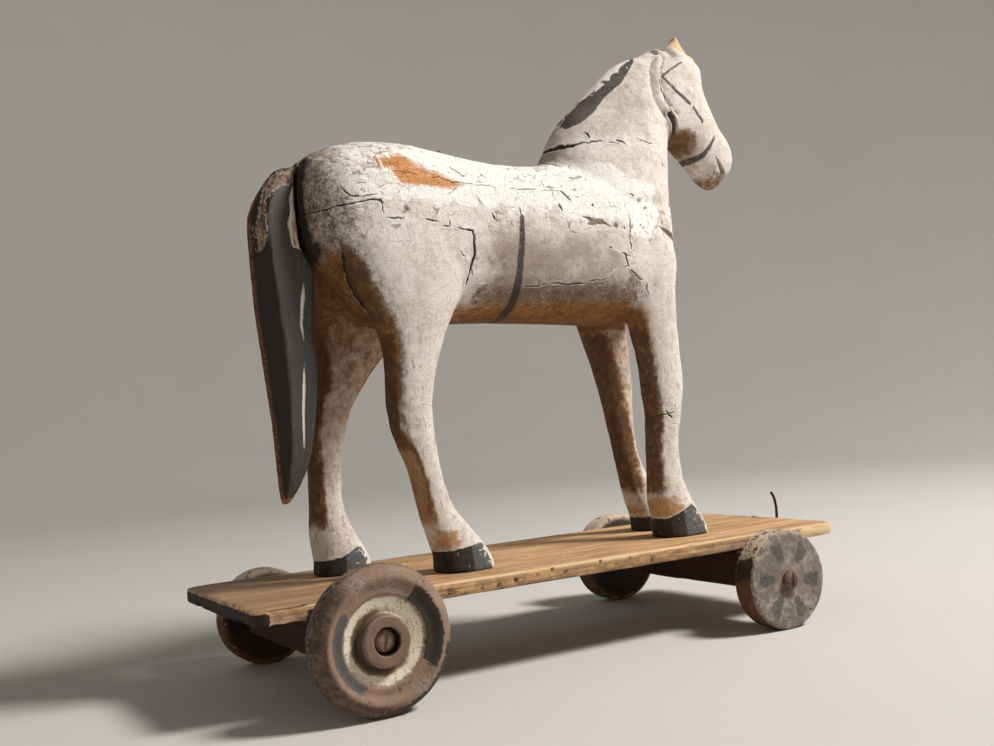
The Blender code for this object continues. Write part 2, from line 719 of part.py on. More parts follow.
def drill_hook_hole(board, cutters, toy):
    bm = bmesh.new()
    bmesh.ops.create_cone(
        bm,
        cap_ends=True,
        segments=12,
        radius1=(HOOK_WIRE_RADIUS + GAP) * MM,
        radius2=(HOOK_WIRE_RADIUS + GAP) * MM,
        depth=2 * (HOOK_ROOT + GAP) * MM,
    )
    hole = add_cutter("hook hole", mesh_from_bmesh("hook hole", bm), cutters, toy)
    hole.rotation_euler = (0, math.pi / 2, 0)
    hole.location = (BOARD_LENGTH / 2 * MM, 0, (BOARD_TOP + BOARD_BOTTOM) / 2 * MM)
    boolean(board, hole, "DIFFERENCE")


def build_tack(parts, toy):
    """A low domed tack on the board just behind the hook."""
    profile = [(0, TACK_HEIGHT)]
    for share in (0.5, 0.85):
        profile.append((TACK_RADIUS * share, TACK_HEIGHT * math.sqrt(1 - share ** 2)))
    profile += [(TACK_RADIUS, 0), (0, 0)]
    mesh = turned_mesh("front tack", profile, 14)
    smooth_shade(mesh, 60)
    tack = add_object("front_tack", mesh, parts, "pale_tack", toy)
    tack.location = (205 * MM, 5.5 * MM, (BOARD_TOP + GAP) * MM)
    return tack


def main():
    clear_scene()
    parts = new_collection("wooden horse on wheels")
    cutters = new_collection("cutters")
    toy = bpy.data.objects.new("toy", None)
    parts.objects.link(toy)
    toy.location = (TOY_X * MM, 0, 0)

    horse = bpy.data.objects.new("horse", None)
    parts.objects.link(horse)
    horse.parent = toy
    horse.location = (0, 0, BOARD_TOP * MM)

    build_horse(parts, cutters, horse)
    build_tail(parts, horse)
    board = build_board(parts, toy)
    build_hook(parts, toy)
    drill_hook_hole(board, cutters, toy)
    build_tack(parts, toy)

    rear_left, front_right, front_left = PLAIN_WHEELS
    build_beam("rear_axle_beam", REAR_AXLE_X, REAR_BEAM_BOTTOM, (REAR_RIGHT, rear_left),
               parts, cutters, toy)
    build_beam("front_axle_beam", FRONT_AXLE_X, FRONT_BEAM_BOTTOM, (front_right, front_left),
               parts, cutters, toy)
    build_wheel(REAR_RIGHT, turned_profile(REAR_RIGHT), "turned_wheel", parts, toy)
    build_screw(REAR_RIGHT, HUB_POCKET_DEPTH - GAP, parts, cutters, toy)
    for wheel in PLAIN_WHEELS:
        build_wheel(wheel, plain_profile(wheel), "plain_wheel", parts, toy)
        build_screw(wheel, -GAP, parts, cutters, toy)


main()
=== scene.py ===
"""An old carved and painted wooden horse on a wheeled board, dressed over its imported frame.

Lengths in the tables are in millimetres, in the frame's own axes: the horse faces +X, its left
side is +Y, and the wheels stand on z = 0.
"""

import math

import bmesh
import bpy
import numpy as np
from mathutils import Matrix, Vector


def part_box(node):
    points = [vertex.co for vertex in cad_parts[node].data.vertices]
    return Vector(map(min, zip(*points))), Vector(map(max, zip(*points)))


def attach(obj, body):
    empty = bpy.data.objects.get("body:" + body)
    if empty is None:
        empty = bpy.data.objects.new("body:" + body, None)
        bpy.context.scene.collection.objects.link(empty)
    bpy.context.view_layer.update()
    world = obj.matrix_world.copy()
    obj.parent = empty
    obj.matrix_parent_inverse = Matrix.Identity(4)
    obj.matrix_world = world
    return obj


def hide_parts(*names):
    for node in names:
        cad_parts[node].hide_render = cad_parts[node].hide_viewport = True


bl_info = {
    "name": "Wooden horse on wheels",
    "version": (1, 0, 0),
    "blender": (4, 5, 0),
    "location": "3D View > Sidebar > Wooden Horse",
    "description": "Dresses the carved toy horse, its board and its wheels over the packed frame",
    "category": "Object",
}

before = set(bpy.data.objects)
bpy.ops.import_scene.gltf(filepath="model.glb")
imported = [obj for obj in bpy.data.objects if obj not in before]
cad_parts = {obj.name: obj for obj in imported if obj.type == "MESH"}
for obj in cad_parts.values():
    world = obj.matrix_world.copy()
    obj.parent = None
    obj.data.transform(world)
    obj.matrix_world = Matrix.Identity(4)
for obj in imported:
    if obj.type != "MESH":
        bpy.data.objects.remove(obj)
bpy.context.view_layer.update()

MM = 0.001
FIXED_BODY = "horse_and_board"
BOARD_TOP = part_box("board")[1].z / MM
BOARD_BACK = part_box("board")[0].x / MM
FORE_AND_HIND = 10       # x between the forelegs and the hind legs
NOT_HERE = -9.0          # how far outside a mark everything beyond its own region counts, in mm
FAR_FROM = -20.0

HORSE_NODES = (
    "body", "head_and_neck", "hind_leg_right", "hind_leg_left", "foreleg_right", "foreleg_left",
)
WHEELS = ("rear_right", "rear_left", "front_right", "front_left")

# Glue joints of the horse, as outlines seen from the side (x, z) with the sideways place of the
# joint's inner face. They are the frame's own joints.
FAR = 260.0
BLOCK_FOOT = 29.3        # well under the hooves
NECK_JOINT_Z = 330.6
HEAD_BLOCK = [(-FAR, NECK_JOINT_Z), (142.25, NECK_JOINT_Z), (142.25, 291.6), (FAR, 291.6),
              (FAR, 470), (-FAR, 470)]
HIND_BLOCK = [(-205.75, BLOCK_FOOT), (-53.75, BLOCK_FOOT), (-53.75, 264.3), (-109.75, 273.8),
              (-113.75, 282.3), (-205.75, 276.3)]
HIND_JOINT_Y = 12.5
FORE_JOINT_Y = 5.5
FORE_TOP = 253.3
FORE_BACK = {"right": 66.25, "left": 54.25}
JOINT_INSET = 0.10       # how far a glued piece grows into the frame's joint clearance
JOINT_ROOM = 0.18
HOOF_CLEARANCE = 0.15    # between the hooves and the board

# Cracks in the gesso. Each is a bent line (x, z) on one side (-1 right, 1 left, 0 both), with
# its half width and its depth.
CRACKS = (
    (0, ((-8, 324.8), (6, 325.4), (24, 326.8), (36, 327.2), (46, 328.2)), 1.3, 1.9),  # neck joint
    (-1, ((43, 328), (46, 329), (51, 329.2), (58.7, 329.7), (65.5, 329.1), (71, 328.9)), 0.26, 0.8),
    (-1, ((49.1, 336.8), (51, 334.5), (51.6, 331.8)), 0.55, 1.0),
    (-1, ((69.3, 331.5), (72, 330.6), (76, 328.4)), 0.4, 0.7),
    (-1, ((85.6, 333.6), (93.2, 331.0), (105.1, 328.7)), 0.16, 0.3),
    (0, ((6, 316.5), (14, 317.5), (20, 320.1), (27, 323.6)), 0.9, 1.6),     # foot of the neck
    (-1, ((20, 319.5), (24, 317), (27, 313), (29, 311)), 0.4, 0.8),
    (-1, ((-156, 276.5), (-146, 277), (-136, 278.5), (-120, 281.2), (-115.5, 281), (-115, 272)),
     0.36, 0.9),
    (-1, ((-138, 289.5), (-134, 284), (-127, 282.8), (-118, 284.8)), 0.29, 0.7),
    (-1, ((-113, 270.3), (-101, 270.6), (-99.5, 265.5)), 0.25, 0.6),
    (-1, ((-98, 286), (-96, 281.5), (-79, 281)), 0.22, 0.6),
    (-1, ((-91, 273), (-86, 270), (-79, 268.5), (-79, 266), (-71, 266.5), (-70.5, 270)), 0.32, 0.8),
    (-1, ((-104, 301), (-84, 298.5), (-62, 295.6), (-29, 293)), 0.15, 0.4),
    (-1, ((-31, 292.8), (-18, 292.8)), 0.30, 0.6),
    (-1, ((-18, 292.8), (-1, 292.9), (16, 292.2)), 0.13, 0.3),
    (-1, ((16, 292.4), (22.5, 286)), 0.42, 0.9),
    (-1, ((-65, 265.8), (-54.5, 263.8), (-54, 251), (-57, 242), (-60, 232)), 0.55, 1.2),
    (-1, ((-65, 251), (-61, 247), (-57, 242)), 0.25, 0.6),
    (-1, ((-57, 242), (-54.5, 236)), 0.25, 0.6),
    (-1, ((-18, 230.6), (-9, 231), (0, 232.3), (14, 231.6), (44, 234), (47, 238), (52, 241)),
     0.22, 0.6),
    (-1, ((45, 255.5), (54, 252), (63, 248.8)), 0.29, 0.7),
    (-1, ((59, 251), (60.5, 243), (57, 242)), 0.29, 0.8),
    (-1, ((67, 279), (66, 265), (64, 254), (66.5, 250)), 0.20, 0.5),
    (-1, ((63, 240), (71, 234), (79, 233), (81, 224)), 0.32, 0.8),
    (-1, ((-39, 276), (-38.5, 272.5), (-37, 270)), 0.45, 0.8),
    (-1, ((-49, 290), (-48, 284), (-44, 279)), 0.2, 0.5),
    (-1, ((-18.5, 281), (-18, 275.5)), 0.29, 0.5),
    (-1, ((11, 283.5), (12.8, 278.5)), 0.50, 0.8),
    (-1, ((-10, 301.5), (-4, 298), (2, 297)), 0.22, 0.5),
    (-1, ((4, 300), (9, 296.5)), 0.22, 0.5),
    (-1, ((-27, 304.5), (-22, 302)), 0.26, 0.5),
    (-1, ((119.5, 379), (121, 370), (122.6, 363.3), (126.8, 355.6)), 0.38, 0.7),
    (-1, ((-62, 306), (-56, 302), (-54, 299)), 0.22, 0.5),
    (-1, ((-40, 303), (-36, 300)), 0.22, 0.5),
    (-1, ((70, 292), (74, 290.4), (80, 290.6)), 0.30, 0.5),
    (-1, ((82.9, 141.8), (89.7, 143), (95.8, 143.5)), 0.36, 0.6),            # knee
    (-1, ((89.7, 145.9), (92, 142), (94.8, 140)), 0.38, 0.6),
    (-1, ((81.2, 166), (81.4, 155)), 0.5, 0.8),
    (-1, ((98, 152.9), (96.9, 146.9)), 0.32, 0.5),
    (-1, ((82.4, 136.9), (90, 136), (98.9, 135.7)), 0.14, 0.3),
    (-1, ((81, 125), (80.6, 115)), 0.32, 0.6),
    (1, ((-150, 277), (-131, 279), (-112, 283), (-109, 272)), 0.29, 0.8),
    (1, ((-96, 285), (-70, 283), (-68, 276)), 0.29, 0.6),
    (1, ((-62, 262), (-54, 259), (-55, 240), (-60, 229)), 0.36, 0.9),
    (1, ((-88, 298), (-40, 293), (10, 292), (41, 288)), 0.18, 0.5),
    (1, ((-30, 236), (10, 231), (38, 236)), 0.22, 0.5),
    (1, ((48, 256), (58, 250), (54, 238)), 0.29, 0.8),
    (1, ((34, 330.4), (60, 331), (96, 331.5)), 0.36, 1.0),
)
FINE_CRACK = 0.34        # cracks with less half width than this come and go along their length

# The crease where the right thigh was glued on, seen slantwise from behind (across, up), and how
# wide the dark shadow in front of it is by height
SLANT = (0.848, -0.53)
THIGH_CREASE = ((-100.6, 258), (-100.3, 246.5), (-101.3, 237.4), (-99.2, 231.7), (-96.5, 225.9),
                (-92.3, 220.3), (-88, 212))
CREASE_SHADOW = ((200, 220, 238, 250, 262), (8, 13, 18, 9, 3))

EAR_TIP_X = 142.5

# Gentle reshaping of the whole horse: a middle (x, y, z), its reach each way and its move
SHAPING = (
    ((168, 0, 370), (38, 60, 30), (-2.6, 0, 0)),        # face
    ((156, 0, 402), (8, 60, 8), (-5.5, 0, -1.5)),       # forehead
    ((192, 0, 322), (8, 60, 8), (-1.5, 0, 0)),          # upper lip
    ((122, 0, 230), (22, 70, 26), (-4.0, 0, 0)),        # chest
    ((113, 0, 403), (13, 60, 9), (0.8, 0, -2.2)),       # poll
    ((130, -9, 401), (4.0, 6, 3.5), (-1.0, -0.5, 2.0)),   # lumps at the ear's root
    ((186, 0, 311), (6.5, 40, 6), (-4.5, 0, 1.0)),      # lower lip
    ((-84, 25, 186), (13, 16, 17), (3.2, 0, 0)),        # front of the left thigh
    ((54, -31, 294), (20, 30, 10), (0, -1.6, 0)),       # right shoulder under the neck
)

# Painted straps and lines: bent lines (x, z) and their half width at their two ends
GIRTH = ((-17.5, 274), (-19, 262), (-21, 250), (-23, 226), (-24.5, 205))
GIRTH_HALF = (1.8, 3.8)
STRAPS = (
    (((95, 270.6), (103, 268), (112, 265)), (0.7, 3.4)),       # breast strap
    (((123, 382), (131.5, 371.6), (142.6, 363.4)), (1.1, 1.7)),      # halter
    (((123, 382), (131, 388), (141, 394)), (1.0, 0.7)),
    (((146.5, 360), (151, 355.5), (155.4, 352)), (1.3, 1.6)),
    (((150.5, 325), (155, 326), (159, 329), (163, 334), (169, 342)), (2.7, 1.0)),
)
MANE_EDGE = ((36, 338), (44.5, 342), (51, 345), (61, 352), (73, 364), (88, 375), (97, 385),
             (107, 396), (116, 410))
CHEEK_RIM = ((124, 396), (118.5, 387), (117, 377), (117.5, 366), (122, 358.5), (127.4, 354.2))
CHEEK_GROOVE = ((125.4, 354.5), (128.9, 349.5), (130.7, 343), (134, 337))
BARE_PATCH = ((-124, 304), (-112, 311), (-96, 313), (-84, 305), (-62, 298), (-55, 293.5),
              (-66, 290), (-90, 291), (-101, 292), (-105, 300))
# The mouth: a slit in each cheek and a notch between the lips, seen from the side (x, z)
MOUTH_SLIT = [(167.8, 329.6), (171.0, 322.4), (175.6, 314.2), (179.2, 305.2), (184.2, 307.4),
              (179.4, 316.8), (174.0, 323.8)]
MOUTH_DEPTH_Y = 6.5
LIP_NOTCH = [(177.6, 313.4), (182.0, 299.0), (192.0, 299.0), (190.0, 311.6), (184.6, 312.4),
             (180.6, 316.6)]
SHOULDER_LOSS = ((27.5, 275.6), (33, 275.2), (37, 273.6), (44, 274.2), (46, 271.6), (48.4, 269.2),
                 (43, 270.4), (37, 270.2), (30, 269.4), (33, 272.0))
# Dirt and painted shade in the folds of the elbow and flank (x, z, reach)
DIRTY_AND_SHADED_FOLDS = ((66, 226, 20), (73, 206, 13), (-42, 246, 17), (-40, 230, 16))
# Warm stains behind the pasterns: a side and an outline (x, z)
PASTERN_STAINS = (
    (-1, ((-94, 87), (-86.6, 86.5), (-81.5, 84), (-78.1, 78.5), (-79.7, 73.2), (-94, 70))),
    (-1, ((72, 86), (80, 87.5), (90.2, 87.3), (98.7, 77), (92, 73.2), (72, 70))),
    (1, ((82, 79), (90.6, 81), (99, 78), (104, 74), (98, 70), (82, 70))),
)
# Where the paint of each hoof turns from black to grey, by leg (fore, left): worn paint, and
# painted highlight on the fronts, which face the light
HOOF_GREYS = {(False, False): -72.3, (False, True): -129, (True, False): 97, (True, True): 113}
SMALL_LOSSES = ((54.2, 269.6, 1.3), (61.2, 268.2, 0.9), (67.1, 268.7, 0.9), (76, 270.8, 0.8),
                (38, 283, 0.9), (84, 283, 1.0))

# Bare and flaked places on the tail's right side (x, z), and the cream streaks down it
TAIL_FLAKED = ((-167.3, 301), (-160.7, 305), (-153.8, 306), (-150, 302), (-155, 299),
               (-162.2, 295.2), (-170.4, 289.2), (-174.2, 284.8), (-175, 275.3), (-175.2, 266.2),
               (-177.8, 256.3), (-180.6, 255.3), (-180.5, 268.7), (-177.6, 283.9), (-173, 294))
TAIL_BARED = ((-162.5, 287), (-162.8, 279), (-164.4, 271), (-163, 258), (-154, 253.5),
              (-144, 248), (-144, 270), (-149, 292), (-156, 299), (-160, 293))
TAIL_STREAKS = ((((-160.6, 236), (-159.8, 223), (-157.8, 203)), 1.0),
                (((-158.2, 190), (-160, 162), (-160.4, 140)), 0.9),
                (((-153.4, 299), (-151.6, 294), (-151.2, 287)), 1.5))


# ---------------------------------------------------------------------------------------------
# Sizes and colours that a user may change


def paint(red, green, blue):
    """A colour given as everyday screen values from 0 to 255."""
    shares = (value / 255 for value in (red, green, blue))
    return tuple(s / 12.92 if s <= 0.04045 else ((s + 0.055) / 1.055) ** 2.4 for s in shares)


def colour_property(name, description, red, green, blue):
    return bpy.props.FloatVectorProperty(
        name=name, description=description, subtype="COLOR", size=3, min=0, max=1,
        default=paint(red, green, blue),
    )


def length_property(name, description, millimetres):
    return bpy.props.FloatProperty(
        name=name, description=description, unit="LENGTH", min=0.0, precision=5,
        default=millimetres * MM,
    )


class WoodenHorseSizes(bpy.types.PropertyGroup):
    """Sizes of the worked surfaces."""

    horse_grid: length_property("Horse grid", "Spacing of the horse's surface points", 1.25)
    tail_grid: length_property("Tail grid", "Spacing of the tail's surface points", 0.9)
    board_grid: length_property("Board grid", "Spacing of the board's surface points", 1.3)
    beam_grid: length_property("Beam grid", "Spacing of the beams' surface points", 1.3)
    wheel_grid: length_property("Wheel grid", "Spacing of the wheels' surface points", 0.8)
    iron_grid: length_property("Iron grid", "Spacing of the ironwork's points", 0.42)
    plate_size: length_property("Plate size", "Usual size of a plate of cracked gesso", 11.0)
    plate_lift: length_property("Plate lift", "How far plates of gesso stand over each other", 0.5)
    worm_hole: length_property("Worm hole", "Radius of a worm hole", 0.8)


class WoodenHorseColours(bpy.types.PropertyGroup):
    """Colours of the paint, gesso, wood and iron."""

    # Clean gesso, also used as painted highlight: the whiter band over the withers is partly light
    # falling on the upper sides, and the lips of the cracks are lightened with it.
    gesso_bright: colour_property("Bright gesso", "Clean gesso on the withers", 250, 246, 240)
    gesso: colour_property("Gesso", "Handled gesso", 232, 223, 214)
    gesso_aged: colour_property("Aged gesso", "Yellowed, dusty gesso", 208, 194, 180)
    # Real dirt, and also painted shade: on the backs of the thighs and legs, in the folds and under
    # the jaw of the horse, and on the turned wheel's left shoulder.
    grime_and_shade: colour_property("Grime", "Dirt in pits and on the rump", 116, 92, 70)
    # Real warm stain, and also painted shade and painted warm bounce light on the horse's sides
    # that face down, inwards and back.
    ochre: colour_property("Stain", "Warm stain under the belly and legs", 182, 122, 54)
    ochre_deep: colour_property("Deep stain", "Darker warm stain", 134, 82, 26)
    gesso_shade: colour_property("Low gesso", "Greyer gesso low on the barrel", 154, 138, 122)
    # Dirt in the finest cracks, and also painted shade down the backs of the legs, in front of the
    # right thigh's crease and under the jaw.
    seam: colour_property("Fine crack", "Dirt in the finest cracks", 76, 56, 38)
    bare_wood: colour_property("Bare wood", "Wood rubbed bare on the croup", 206, 140, 86)
    # Dirt in a crack, and also painted shade: in the hollow round the tail's root, on the tail's
    # back-facing facets, on the board's back end, round the turned wheel's hub and on the plain
    # wheels' inner faces and treads.
    crack: colour_property("Crack", "Dirt in a crack", 32, 25, 20)
    ground: colour_property("Ground", "Grey ground under lost gesso", 140, 126, 110)
    mane_paint: colour_property("Mane paint", "Grey-brown of the mane", 92, 85, 80)
    strap_paint: colour_property("Strap paint", "Dark grey of the straps", 56, 52, 50)
    hoof_paint: colour_property("Hoof paint", "Black of the hooves", 60, 58, 56)
    tail_paint: colour_property("Tail paint", "Blue-black of the tail", 66, 63, 62)
    tail_wood: colour_property("Tail wood", "Reddish wood at the tail's edges", 132, 78, 52)
    # Worn slate grey, also painted highlight on the hooves' fronts, which face the light.
    hoof_grey: colour_property("Hoof grey", "Worn slate grey on the hooves", 92, 96, 100)
    leg_tan: colour_property("Leg tan", "Rubbed tan down the backs of the legs", 206, 164, 118)
    board_wood: colour_property("Board wood", "Tan of the board", 220, 178, 130)
    board_dark: colour_property("Board grain", "Darker grain of the board", 148, 106, 68)
    # Old dark paint, made near black so that it also stands for painted shade on the board's back
    # end and the turned wheel's shoulder.
    dark_paint_and_shade: colour_property("Board paint", "Old dark paint at the board's back", 46, 29, 21)
    beam_wood: colour_property("Beam wood", "Dark red-brown of the beams", 74, 34, 24)
    turned_paint: colour_property("Turned wheel", "Brown-grey of the turned wheel", 140, 113, 93)
    tyre_black: colour_property("Tyre black", "Black rubbed paint on its tyre", 32, 29, 28)
    dish_cream: colour_property("Dish cream", "Cream ring of its dish", 222, 210, 188)
    hub_brown: colour_property("Hub brown", "Brown of its hub", 124, 98, 82)
    plain_paint: colour_property("Plain wheel", "Grey of the plain wheels", 112, 102, 94)
    petal_paint: colour_property("Petals", "Dark marks on the plain wheels", 68, 68, 64)
    tread_cream: colour_property("Tread cream", "Flaking cream on their treads", 206, 186, 162)
    tread_wood: colour_property("Tread wood", "Brown wood of their treads", 96, 58, 32)
    rust: colour_property("Rust", "Rust on the screws", 134, 100, 78)
    iron: colour_property("Iron", "Dark iron", 46, 42, 40)
    ear_wood: colour_property("Ear wood", "Yellow wood of the worn ear tips", 228, 198, 154)
    moss: colour_property("Tuft", "Olive tuft stuck to the back", 112, 108, 66)
    tack: colour_property("Tack", "Pale tack", 186, 170, 148)
    floor: colour_property("Floor", "Plain pale floor", 206, 204, 200)


def sizes():
    return bpy.context.scene.wooden_horse_sizes


def colours():
    return bpy.context.scene.wooden_horse_colours


# ---------------------------------------------------------------------------------------------
# Repeatable unevenness


def scatter(cells, seed):
    """A repeatable number from 0 to 1 for each whole-numbered place."""
    whole = cells.astype(np.int64)
    code = whole[:, 0] * 73856093 ^ whole[:, 1] * 19349663 ^ whole[:, 2] * 83492791
    code = (code ^ (seed * 40503 + 12345)) & 0xFFFFFFFF
    code = ((code ^ (code >> 15)) * 2246822519) & 0xFFFFFFFF
    code = ((code ^ (code >> 13)) * 3266489917) & 0xFFFFFFFF
    return (code ^ (code >> 16)) / 4294967295.0


def ease(values, low, high):
    """0 at low, 1 at high and smooth between, whichever of them is larger."""
    share = np.clip((values - low) / (high - low), 0.0, 1.0)
    return share * share * (3 - 2 * share)


def bell(gaps, reach):
    """1 where there is no gap, falling off smoothly over the reach to either side."""
    return np.exp(-(gaps / reach) ** 2)


def lumps(points, size, seed):
    """Smooth unevenness from 0 to 1, with lumps of about the given size."""
    place = points / size
    cell = np.floor(place)
    part = place - cell
    part = part * part * (3 - 2 * part)
    total = np.zeros(len(points))
    for corner in np.ndindex(2, 2, 2):
        weight = np.prod(np.where(corner, part, 1 - part), axis=1)
        total += weight * scatter(cell + corner, seed)
    return total


def roughness(points, size, seed, octaves=4):
    """Unevenness from -1 to 1 with ever finer lumps."""
    total, reach = np.zeros(len(points)), 0.0
    for octave in range(octaves):
        share = 0.5 ** octave
        total += share * (lumps(points + 37.1 * octave, size * share, seed + octave) * 2 - 1)
        reach += share
    return total / reach * 1.6


def waver(points, size, seeds, octaves):
    """Two unevennesses side by side, to shake places in a flat view with."""
    return np.stack([roughness(points, size, seed, octaves) for seed in seeds], 1)


def along_path(places, path):
    """Distance from each place in a flat view to a bent line, and the share of the line's length
    at which it is nearest."""
    path = np.array(path, float)
    lengths = np.linalg.norm(np.diff(path, axis=0), axis=1)
    before = np.concatenate(([0.0], np.cumsum(lengths)))
    best = np.full(len(places), 1e9)
    share = np.zeros(len(places))
    for number, length in enumerate(lengths):
        start, direction = path[number], (path[number + 1] - path[number]) / length
        reach = np.clip((places - start) @ direction, 0, length)
        gap = np.linalg.norm(places - start - reach[:, None] * direction, axis=1)
        closer = gap < best
        best = np.where(closer, gap, best)
        share = np.where(closer, (before[number] + reach) / before[-1], share)
    return best, share


def inside_line(places, path, halves):
    """Distance into a painted line whose half width goes from the first to the second value."""
    gap, share = along_path(places, path)
    return halves[0] + (halves[1] - halves[0]) * share - gap


def inside_outline(places, outline):
    """Distance into a closed outline, negative outside it."""
    gap, _ = along_path(places, list(outline) + [outline[0]])
    within = np.zeros(len(places), bool)
    x, z = places[:, 0], places[:, 1]
    for number, (x1, z1) in enumerate(outline):
        x0, z0 = outline[number - 1]
        if z0 == z1:
            continue
        crosses = (z0 > z) != (z1 > z)
        within ^= crosses & (x < (x1 - x0) * (z - z0) / (z1 - z0) + x0)
    return np.where(within, gap, -gap)


def behind_outline(x, z, floor, step):
    """How far forward each point is from the rearmost ones at its height, in mm, found in
    shelves of the given step above the floor."""
    shelf = ((z - floor) / step).astype(int).clip(0)
    back = np.full(shelf.max() + 1, np.inf)
    np.minimum.at(back, shelf, x)
    known = np.flatnonzero(np.isfinite(back))
    return x - np.interp(z, floor + step * known + step / 2, back[known])


# ---------------------------------------------------------------------------------------------
# Working a surface


def take_mesh(thing):
    """Gives the object the mesh that its modifiers make, and clears them."""
    graph = bpy.context.evaluated_depsgraph_get()
    mesh = bpy.data.meshes.new_from_object(thing.evaluated_get(graph))
    old = thing.data
    thing.modifiers.clear()
    thing.data = mesh
    bpy.data.meshes.remove(old)


def new_thing(name, mesh):
    thing = bpy.data.objects.new(name, mesh)
    bpy.context.scene.collection.objects.link(thing)
    return thing


def discard(thing):
    mesh = thing.data
    bpy.data.objects.remove(thing, do_unlink=True)
    if mesh.users == 0:
        bpy.data.meshes.remove(mesh)


def reskin(name, nodes, grid, grow=0.0):
    """An object with one even skin round the given frame nodes. grow, in mm, closes the glue
    joints between them."""
    bm = bmesh.new()
    for node in nodes:
        bm.from_mesh(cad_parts[node].data)
    bmesh.ops.remove_doubles(bm, verts=bm.verts, dist=1e-7)
    if grow:
        bm.normal_update()
        for vertex in bm.verts:
            vertex.co += vertex.normal * grow * MM
    mesh = bpy.data.meshes.new(name)
    bm.to_mesh(mesh)
    bm.free()
    thing = new_thing(name, mesh)
    skin = thing.modifiers.new("skin", "REMESH")
    skin.mode = "VOXEL"
    skin.voxel_size = grid * 1.0
    take_mesh(thing)
    if not thing.data.vertices:
        raise RuntimeError(f"{name} has no skin")
    return thing


class Surface:
    """An object's points in millimetres, worked with arrays and then put back."""

    def __init__(self, thing):
        self.thing = thing
        mesh = thing.data
        flat = np.empty(len(mesh.vertices) * 3, np.float32)
        mesh.vertices.foreach_get("co", flat)
        self.points = flat.reshape(-1, 3).astype(float) / MM
        pairs = np.empty(len(mesh.edges) * 2, np.int32)
        mesh.edges.foreach_get("vertices", pairs)
        self.pairs = pairs.reshape(-1, 2)
        mesh.calc_loop_triangles()
        corners = np.empty(len(mesh.loop_triangles) * 3, np.int32)
        mesh.loop_triangles.foreach_get("vertices", corners)
        self.corners = corners.reshape(-1, 3)
        self.neighbours = self.spread(pairs, None)

    def spread(self, ends, values):
        return np.bincount(ends, values, len(self.points))

    def around(self, values):
        """The mean over each point's neighbours."""
        a, b = self.pairs.T
        return (self.spread(a, values[b]) + self.spread(b, values[a])) / self.neighbours

    def pull(self, points, share):
        """Each point moved towards the middle of its neighbours by the given share."""
        middle = np.stack([self.around(column) for column in points.T], 1)
        return points + share * (middle - points)

    def polish(self, rounds):
        """Takes the facets off without shrinking the form."""
        for _ in range(rounds):
            self.points = self.pull(self.pull(self.points, 0.5), -0.53)

    def blurred(self, values, rounds):
        """Values spread among neighbours."""
        for _ in range(rounds):
            values = (values + self.around(values)) / 2
        return values

    def softened(self, rounds):
        points = self.points
        for _ in range(rounds):
            points = self.pull(points, 0.6)
        return points

    def normals(self, soften=0):
        p, c = self.softened(soften), self.corners
        face = np.cross(p[c[:, 1]] - p[c[:, 0]], p[c[:, 2]] - p[c[:, 0]])
        total = np.zeros_like(p)
        for corner in range(3):
            for axis in range(3):
                total[:, axis] += self.spread(c[:, corner], face[:, axis])
        return total / np.maximum(np.linalg.norm(total, axis=1), 1e-12)[:, None]

    def edges_out(self, rounds=8):
        """How far each point stands out of its surroundings, in mm: positive on edges, negative
        in hollows."""
        return ((self.points - self.softened(rounds)) * self.normals()).sum(1)

    def press(self, depth):
        """Moves the surface in along its normals by depth, in mm, or out where it is negative."""
        self.points = self.points - self.normals() * depth[:, None]

    def save(self):
        mesh = self.thing.data
        mesh.vertices.foreach_set("co", (self.points * MM).astype(np.float32).ravel())
        mesh.update()

    def mark(self, **layers):
        """Stores values on the points for the materials to read."""
        for name, values in layers.items():
            layer = self.thing.data.attributes.new(name, "FLOAT", "POINT")
            layer.data.foreach_set("value", np.asarray(values, np.float32))


def start_piece(name, nodes, grid, rounds, grow=0.0):
    """The surface of a new piece round the frame nodes, with its facets taken off."""
    surface = Surface(reskin(name, nodes, grid, grow))
    surface.polish(rounds)
    return surface


def settle(surface, nodes):
    """Keeps a surface within the box of the frame nodes that it stands for, and saves it."""
    low = np.min([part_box(node)[0] for node in nodes], axis=0) / MM
    high = np.max([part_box(node)[1] for node in nodes], axis=0) / MM
    surface.points = np.clip(surface.points, low, high)
    surface.save()


def close_up(thing, material, smooth_angle):
    """No stray parts, and the material and shading, which every piece gets."""
    bm = bmesh.new()
    bm.from_mesh(thing.data)
    seen, groups = set(), []
    for vertex in bm.verts:
        if vertex.index in seen:
            continue
        group, queue = [], [vertex]
        seen.add(vertex.index)
        while queue:
            here = queue.pop()
            group.append(here)
            for edge in here.link_edges:
                other = edge.other_vert(here)
                if other.index not in seen:
                    seen.add(other.index)
                    queue.append(other)
        groups.append(group)
    largest = max(groups, key=len)
    for group in groups:
        if group is not largest:
            bmesh.ops.delete(bm, geom=group, context="VERTS")
    bm.to_mesh(thing.data)
    bm.free()
    thing.data.materials.clear()
    thing.data.materials.append(material)
    thing.data.polygons.foreach_set("material_index", [0] * len(thing.data.polygons))
    thing.data.shade_smooth()
    thing.data.set_sharp_from_angle(angle=math.radians(smooth_angle))


def stand_for(thing, node, body):
    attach(thing, body)
    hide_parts(node)


# ---------------------------------------------------------------------------------------------
# Working a material


